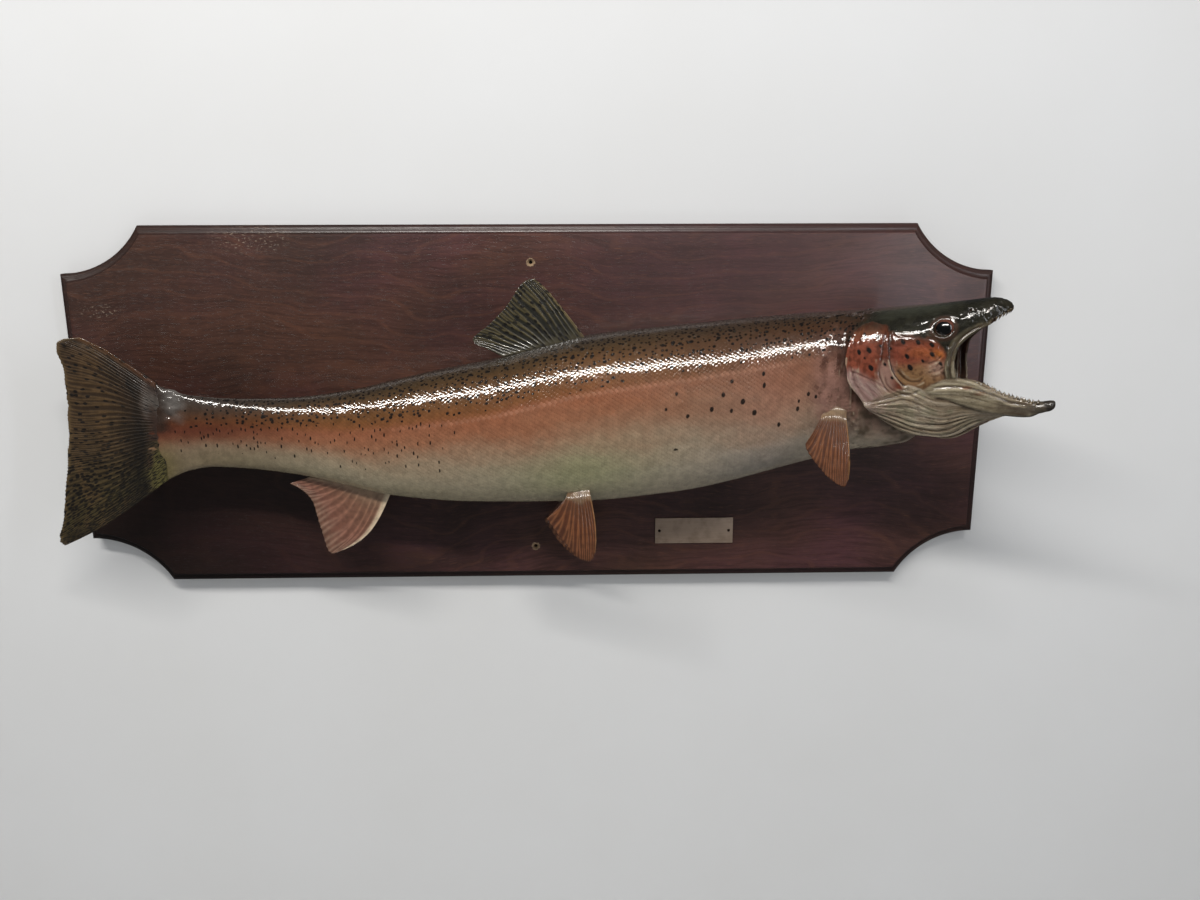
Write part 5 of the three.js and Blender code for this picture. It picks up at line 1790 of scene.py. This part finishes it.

# %% Bare skin: crackled and crinkled where it shrank over bone, creased where it folds, with painted shade in the creases
skin_paint, shader, add, place, colour, height = airbrushed("airbrushed_skin_lacquered")
crackle = add("TexVoronoi", {"Vector": place, "Scale": METRE / 2.38, "Randomness": 1.0},
              feature="DISTANCE_TO_EDGE")[0]
crackle = add("MapRange", [crackle, 0.0, 0.22, 0.0, 0.4], **SMOOTH)[0]
crinkle = add("TexNoise", {"Vector": place, "Scale": METRE / 3.03, "Distortion": 0.6})[0]
crinkle = add("Math", [crinkle, 3.4, crackle], operation="MULTIPLY_ADD")[0]
pebbled = add("Attribute", attribute_name="pebbled")[2]
height = add("Math", [crinkle, pebbled, height], operation="MULTIPLY_ADD")[0]
wrinkle = add("Attribute", attribute_name="wrinkle")[1]
amount = add("SeparateXYZ", [wrinkle])[2]
for length, width, detail, crease_depth_and_shade in ((25.0, 2.94, 1.0, 0.42), (8.33, 0.87, 2.0, 0.2)):
    grain = add("VectorMath", [wrinkle, (1 / length, 1 / width, 0.0)], **TIMES)[0]
    grain = add("TexNoise", {"Vector": grain, "Scale": 1.0, "Detail": detail,
                             "Roughness": 0.55, "Distortion": 0.3})[0]
    gap = add("Math", [grain, 0.5], operation="SUBTRACT")[0]
    gap = add("Math", [gap], operation="ABSOLUTE")[0]
    crease = add("MapRange", [gap, 0.05, 0.0, 0.0, crease_depth_and_shade], **SMOOTH)[0]
    crease = add("Math", [crease, amount], **TIMES)[0]
    # painted shade: the creases are coloured darker where the bump sinks them
    colour = add("Mix", {0: crease, 6: colour, 7: rgba("#35231a")}, data_type="RGBA")[2]
    height = add("Math", [crease, -1.3, height], operation="MULTIPLY_ADD")[0]
lacquered(add, shader, colour, height, 0.22 * MM)
use(skin_paint, skin)

# %% [markdown]
# A dried fin is horny web between bony rays, so it is as glossy as the skin but a shade rougher.
# The rays' joints are 1.5 mm apart, and the tail's dark dashes are some 5 mm long.

# %% Dried fins, brushed with lacquer
fin_paint, shader, add = new_material(
    "dried_fin_lacquered", Roughness=0.38, Coat_Weight=1.0, Coat_Roughness=0.1, Coat_IOR=1.5)
tint = add("Attribute", attribute_name="tint")[0]
ray = add("Attribute", attribute_name="ray")[1]
place = add("TexCoord")[3]
blotches = add("TexNoise", {"Vector": place, "Scale": METRE / 4.545, "Detail": 3.0})[0]
colour = shaded(add, tint, blotches, 0.25, 0.75, 0.78, 1.18)
dash_place = add("VectorMath", [ray, (2.1, 1 / 5, 0.0)], **TIMES)[0]
cells = add("TexVoronoi", {"Vector": dash_place, "Scale": 1.0, "Randomness": 0.85},
            voronoi_dimensions="2D")
chance = add("SeparateColor", [cells[1]])[0]
density = add("Attribute", attribute_name="dash")[2]
chosen = add("Math", [chance, density], operation="LESS_THAN")[0]
dash = add("MapRange", [cells[0], 0.45, 0.36, 0.0, 0.93], **SMOOTH)[0]
dash = add("Math", [dash, chosen], **TIMES)[0]
colour = add("Mix", {0: dash, 6: colour, 7: rgba("#0e0b09")}, data_type="RGBA")[2]
along = add("SeparateXYZ", [ray])[1]
joints = add("Math", [along, 2 * math.pi / 1.5], **TIMES)[0]
joints = add("Math", [joints], operation="SINE")[0]
joints = add("MapRange", [joints, -1.0, -0.6, 0.0, 0.15], **SMOOTH)[0]
outer = add("MapRange", [along, 12.0, 26.0], **SMOOTH)[0]
height = add("Math", [joints, outer, blotches], operation="MULTIPLY_ADD")[0]
relief = add("Bump", {"Height": height, "Distance": 0.22 * MM, "Strength": 1.0})[0]
drive(shader, Base_Color=colour, Normal=relief, Coat_Normal=relief)
use(fin_paint, *fins)

# %% [markdown]
# A taxidermist's eye is clear glass painted from behind, so its shine is the sharpest on the mount.
# Teeth are bone, yellowed and stained at the gums. The jaw's tip is blackened skin on gristle.

# %% Painted glass, yellowed bone and blackened skin
eye_glass, shader, add = new_material(
    "painted_glass_eye", Roughness=0.2, Coat_Weight=1.0, Coat_Roughness=0.01, Coat_IOR=1.6)
place = add("TexCoord")[3]
ragged = add("TexNoise", {"Vector": place, "Scale": METRE / 1.43})[0]
ragged = add("MapRange", [ragged, 0.3, 0.7, -0.03, 0.03], **SMOOTH)[0]
dial = add("Attribute", attribute_name="dial")[2]
ring = add("Math", [dial, ragged], operation="ADD")[0]
streaks = add("TexNoise", {"Vector": place, "Scale": METRE / 0.667})[0]
iris = add("Mix", {0: streaks, 6: rgba("#6d4235"), 7: rgba("#3a221a")},
           data_type="RGBA")[2]
pupil_edge = add("MapRange", [ring, 0.66, 0.72], **SMOOTH)[0]
colour = add("Mix", {0: pupil_edge, 6: rgba("#050505"), 7: iris}, data_type="RGBA")[2]
drive(shader, Base_Color=colour)
use(eye_glass, *eyes)

tooth_bone, shader, add = new_material(
    "yellowed_tooth_bone", Roughness=0.3, Coat_Weight=0.8, Coat_Roughness=0.1)
place = add("TexCoord")[3]
stain = add("TexNoise", {"Vector": place, "Scale": METRE / 1.11, "Detail": 3.0})[0]
drive(shader, Base_Color=laid_over(add, rgba("#64563f"), "#231a13", stain, 0.35, 0.65))
use(tooth_bone, teeth)

tip_skin, shader, add = new_material(
    "black_jaw_tip_lacquered", Roughness=0.4, Coat_Weight=1.0, Coat_Roughness=0.08)
place = add("TexCoord")[3]
blotches = add("TexNoise", {"Vector": place, "Scale": METRE / 2, "Detail": 3.0})[0]
dark, pale = [add("Mix", {0: blotches, 6: rgba(a), 7: rgba(b)}, data_type="RGBA")[2]
              for a, b in (("#1d1a17", "#3a342c"), ("#51493d", "#3b3429"))]
blend = add("Attribute", attribute_name="blend")[2]
blend = add("MapRange", [blend, 0.1, 0.9], **SMOOTH)[0]
colour = add("Mix", {0: blend, 6: pale, 7: dark}, data_type="RGBA")[2]
relief = add("Bump", {"Height": blotches, "Distance": 0.3 * MM, "Strength": 1.0})[0]
drive(shader, Base_Color=colour, Normal=relief, Coat_Normal=relief)
use(tip_skin, kype)

# %% [markdown]
# The board is a red-brown tropical hardwood, sawn flat, stained and varnished thinly: the varnish
# follows the open pores, so its shine is a soft one. Grain streaks are 1.6 mm apart. The pores, a
# tenth of a millimetre wide on real wood, are drawn at 0.4 mm so that they show.

# %% Stained and varnished hardwood: its grain
wood, shader, add = new_material(
    "stained_varnished_hardwood", Coat_Weight=0.35, Coat_Roughness=0.22)
place = add("TexCoord")[3]
parts = add("SeparateXYZ", [place])


def wood_pattern(vector, sizes, detail, roughness):
    """Lumps of these sizes in millimetres along the board, through it and up it."""
    vector = add("VectorMath", [vector, repeats(*sizes)], **TIMES)[0]
    return add("TexNoise", {"Vector": vector, "Scale": 1.0, "Detail": detail,
                            "Roughness": roughness})[0]


drift = wood_pattern(place, (454.5, 1000, 227.3), 4.0, 0.5)
figure = add("Math", [parts[2], METRE / 29.41], **TIMES)[0]
figure = add("Math", [drift, 17.0, figure], operation="MULTIPLY_ADD")[0]
figure = add("Math", [figure, 2 * math.pi], **TIMES)[0]
figure = add("Math", [figure], operation="SINE")[0]
late_wood = add("MapRange", [figure, 0.8, 1.0], **SMOOTH)[0]
bent = add("Math", [drift, 0.12, parts[2]], operation="MULTIPLY_ADD")[0]
bent = add("CombineXYZ", [parts[0], parts[1], bent])[0]
streak = wood_pattern(bent, (38.46, 38.46, 1.613), 4.0, 0.7)
pores = wood_pattern(bent, (10.53, 10.53, 0.4348), 2.0, 0.6)
cloud = wood_pattern(place, (200, 200, 111.1), 4.0, 0.6)
redness = wood_pattern(place, (333.3, 333.3, 200), 3.0, 0.6)
colour = laid_over(add, rgba("#503529"), "#533237", redness, 0.35, 0.65)
colour = laid_over(add, colour, "#2c1a15", cloud, 0.35, 0.68, 0.85)
colour = laid_over(add, colour, "#25140f", streak, 0.4, 0.66, 0.5)
fine = add("MapRange", [streak, 0.35, 0.6, 0.02, 0.14], **SMOOTH)[0]
fine = add("Math", [late_wood, fine], **TIMES)[0]
colour = add("Mix", {0: fine, 6: colour, 7: rgba("#7d5039")}, data_type="RGBA")[2]
colour = laid_over(add, colour, "#8a5c44", pores, 0.42, 0.3, 0.3)
colour = laid_over(add, colour, "#150b09", pores, 0.6, 0.72, 0.5)
colour = laid_over(add, colour, "#1f1513", parts[1], -0.0196, -0.0185, 0.62)

# %% The board's painted shadow and painted sheen, its scuffs and chips
FACE_Y = -PLAQUE_THICKNESS * MM


def far_from(x, z, stretch=(1.0, 1.0, 1.0)):
    """Distance of the surface from a place on the board's face."""
    gap = add("VectorMath", [place, (x, FACE_Y, z)], operation="SUBTRACT")[0]
    gap = add("VectorMath", [gap, stretch], **TIMES)[0]
    return add("VectorMath", [gap], operation="LENGTH")[1]


# painted shadow: a dark patch low on the left; painted sheen: a pale purplish patch high on the right
for x, z, size, amount, code in ((-0.34, -0.15, 0.3, 0.8, "#160d0a"),
                                 (0.22, 0.19, 0.3, 0.12, "#6e565a")):
    colour = laid_over(add, colour, code, far_from(x, z), size, 0.2 * size, amount)
for x, z, size in ((-0.247, 0.155, 0.028), (-0.383, 0.091, 0.016)):
    rubbed = add("MapRange", [far_from(x, z, (0.6, 1.0, 1.5)), size, 0.3 * size],
                  **SMOOTH)[0]
    marks = wood_pattern(place, (3.846, 10, 1.4286), 3.0, 0.7)
    marks = add("MapRange", [marks, 0.56, 0.66, 0.0, 0.8], **SMOOTH)[0]
    scuff = add("Math", [rubbed, marks], **TIMES)[0]
    colour = add("Mix", {0: scuff, 6: colour, 7: rgba("#8f8070")}, data_type="RGBA")[2]
for z in (0.133, -0.133):
    ragged = add("TexNoise", {"Vector": place, "Scale": METRE / 1.667})[0]
    chip = add("Math", [ragged, 4 * MM, far_from(0.0, z)], operation="MULTIPLY_ADD")[0]
    colour = laid_over(add, colour, "#a78f72", chip, 6.2 * MM, 5.4 * MM, 0.7)
pits = add("MapRange", [pores, 0.6, 0.72], **SMOOTH)[0]
height = add("Math", [streak, 0.5], **TIMES)[0]
height = add("Math", [height, pits], operation="SUBTRACT")[0]
relief = add("Bump", {"Height": height, "Distance": 0.12 * MM, "Strength": 0.7})[0]
roughness = add("MapRange", [cloud, 0.3, 0.7, 0.34, 0.46], **SMOOTH)[0]
drive(shader, Base_Color=colour, Roughness=roughness, Normal=relief)
use(wood, plaque)

# %% [markdown]
# The plate is rolled brass, gilt, brushed along its length and then dulled by handling, so it is
# only partly metallic to the eye. The nails are blackened iron with rust coming through.

# %% Brushed gilt brass and blackened iron
brass, shader, add = new_material("aged_gilt_brass", Metallic=0.6)
place = add("TexCoord")[3]
brushed = add("VectorMath", [place, repeats(16.67, 16.67, 0.3333)], **TIMES)[0]
brushed = add("TexNoise", {"Vector": brushed, "Scale": 1.0, "Detail": 3.0})[0]
tarnish = add("TexNoise", {"Vector": place, "Scale": METRE / 11.1, "Detail": 4.0})[0]
colour = laid_over(add, rgba("#bba593"), "#a18d7b", tarnish, 0.4, 0.75)
colour = laid_over(add, colour, "#d5c2ad", brushed, 0.4, 0.7, 0.25)
roughness = add("MapRange", [tarnish, 0.35, 0.75, 0.42, 0.52], **SMOOTH)[0]
relief = add("Bump", {"Height": brushed, "Distance": 0.02 * MM, "Strength": 1.0})[0]
drive(shader, Base_Color=colour, Roughness=roughness, Normal=relief)
use(brass, plate)

iron, shader, add = new_material("blackened_iron_nail", Metallic=0.9)
place = add("TexCoord")[3]
rust = add("TexNoise", {"Vector": place, "Scale": METRE / 1.11, "Detail": 3.0})[0]
roughness = add("MapRange", [rust, 0.3, 0.7, 0.35, 0.6], **SMOOTH)[0]
relief = add("Bump", {"Height": rust, "Distance": 0.1 * MM, "Strength": 1.0})[0]
drive(shader, Base_Color=laid_over(add, rgba("#2e2a26"), "#4a3a2c", rust, 0.4, 0.7),
      Roughness=roughness, Normal=relief)
use(iron, *pins)
print("materials:", [material.name for material in bpy.data.materials])

# %% [markdown]
# ## Studio
# The plaque hangs on a pale wall over a pale floor. The wall is one-sided, so the back of the
# mount can be seen from behind. A long strip light almost overhead draws the bright line along
# the fish, a tall narrow one to the right picks out the head, and three broad soft lights fill
# the rest.

# %% Wall and floor
def plane(name, corners):
    piece = make_object(name, corners, [(0, 1, 2, 3)], smooth=False)
    return piece


WALL_Y, FLOOR_Z = 0.0015, -0.75
wall = plane("studio_wall", [(-3, WALL_Y, FLOOR_Z), (3, WALL_Y, FLOOR_Z), (3, WALL_Y, 2.2),
                             (-3, WALL_Y, 2.2)])
floor = plane("studio_floor", [(-6, -6, FLOOR_Z), (6, -6, FLOOR_Z), (6, 6, FLOOR_Z),
                               (-6, 6, FLOOR_Z)])
for name, roughness, size, codes, piece in (
        ("matt_floor_paint", 0.6, 250, ("#d8d8d6", "#d2d2cf"), floor),
        ("matt_wall_paint", 0.7, 200, ("#d6d9dc", "#d0d2d3"), wall)):
    paint, shader, add = new_material(name, Roughness=roughness)
    place = add("TexCoord")[3]
    mottle = add("TexNoise", {"Vector": place, "Scale": METRE / size, "Detail": 3.0})[0]
    colour = add("Mix", {0: mottle, 6: rgba(codes[0]), 7: rgba(codes[1])},
                 data_type="RGBA")[2]
    drive(shader, Base_Color=colour)
    use(paint, piece)
see_through = add("BsdfTransparent")[0]
from_behind = add("NewGeometry")[6]
one_sided = add("MixShader", [from_behind, shader.outputs[0], see_through])[0]
tree = shader.id_data
tree.links.new(one_sided, tree.nodes["Material Output"].inputs["Surface"])
if wall.data.polygons[0].normal.y > 0:
    wall.data.flip_normals()


# %% Lights, world and camera
def area_light(name, place, target, size, power_watts, colour="#ffffff"):
    lamp = bpy.data.lights.new(name, "AREA")
    lamp.shape = "RECTANGLE"
    lamp.size, lamp.size_y = size
    lamp.energy = power_watts
    lamp.color = linear(colour)
    piece = bpy.data.objects.new(name, lamp)
    piece.location = place
    piece.rotation_euler = (Vector(target) - Vector(place)).to_track_quat("-Z", "Y").to_euler()
    bpy.context.scene.collection.objects.link(piece)
    return piece


area_light("strip_high", (-0.3, -1.32, 1.35), (0.0, -0.11, 0.03), (1.9, 0.1), 40, "#fffaf4")
area_light("window_right", (1.1, -1.35, 0.45), (0.32, -0.12, 0.07), (0.08, 1.2), 3.4, "#f4f7ff")
fills = [
    area_light("soft_overhead", (0.0, -0.7, 1.75), (0.0, -0.1, 0.0), (2.0, 0.8), 4, "#f6f8ff"),
    area_light("soft_left", (-1.7, -2.0, 0.8), (0, -0.05, 0), (2.0, 2.0), 3.2, "#f4f6ff"),
    area_light("soft_right", (2.0, -1.8, 0.4), (0.1, -0.1, 0), (1.8, 2.0), 1.8, "#fff8ef")]
for piece in fills + [wall, floor]:
    piece.visible_glossy = False

world = bpy.data.worlds.new("pale_studio")
bpy.context.scene.world = world
world.use_nodes = True
tree = world.node_tree
add = adder(tree)
background = tree.nodes["Background"]
background.inputs["Color"].default_value = rgba("#e9edf2")
background.inputs["Strength"].default_value = 0.16
for_camera = add("Background", [rgba("#eef0f1"), 1.0])[0]
in_gloss = add("Background", [rgba("#e9edf2"), 0.055])[0]
rays = add("LightPath")
shown = add("MixShader", [rays[3], background.outputs[0], in_gloss])[0]
shown = add("MixShader", [rays[0], shown, for_camera])[0]
tree.links.new(shown, tree.nodes["World Output"].inputs["Surface"])

camera = bpy.data.objects.new("camera", bpy.data.cameras.new("camera"))
camera.data.lens, camera.data.sensor_width = 30.0, 36.0
camera.location = (0.041938, -0.926587, 0.176447)
camera.rotation_euler = [math.radians(a) for a in (76.6129, 0.1542, -1.2678)]
bpy.context.scene.collection.objects.link(camera)
bpy.context.scene.camera = camera
bpy.context.scene.view_settings.view_transform = "Standard"
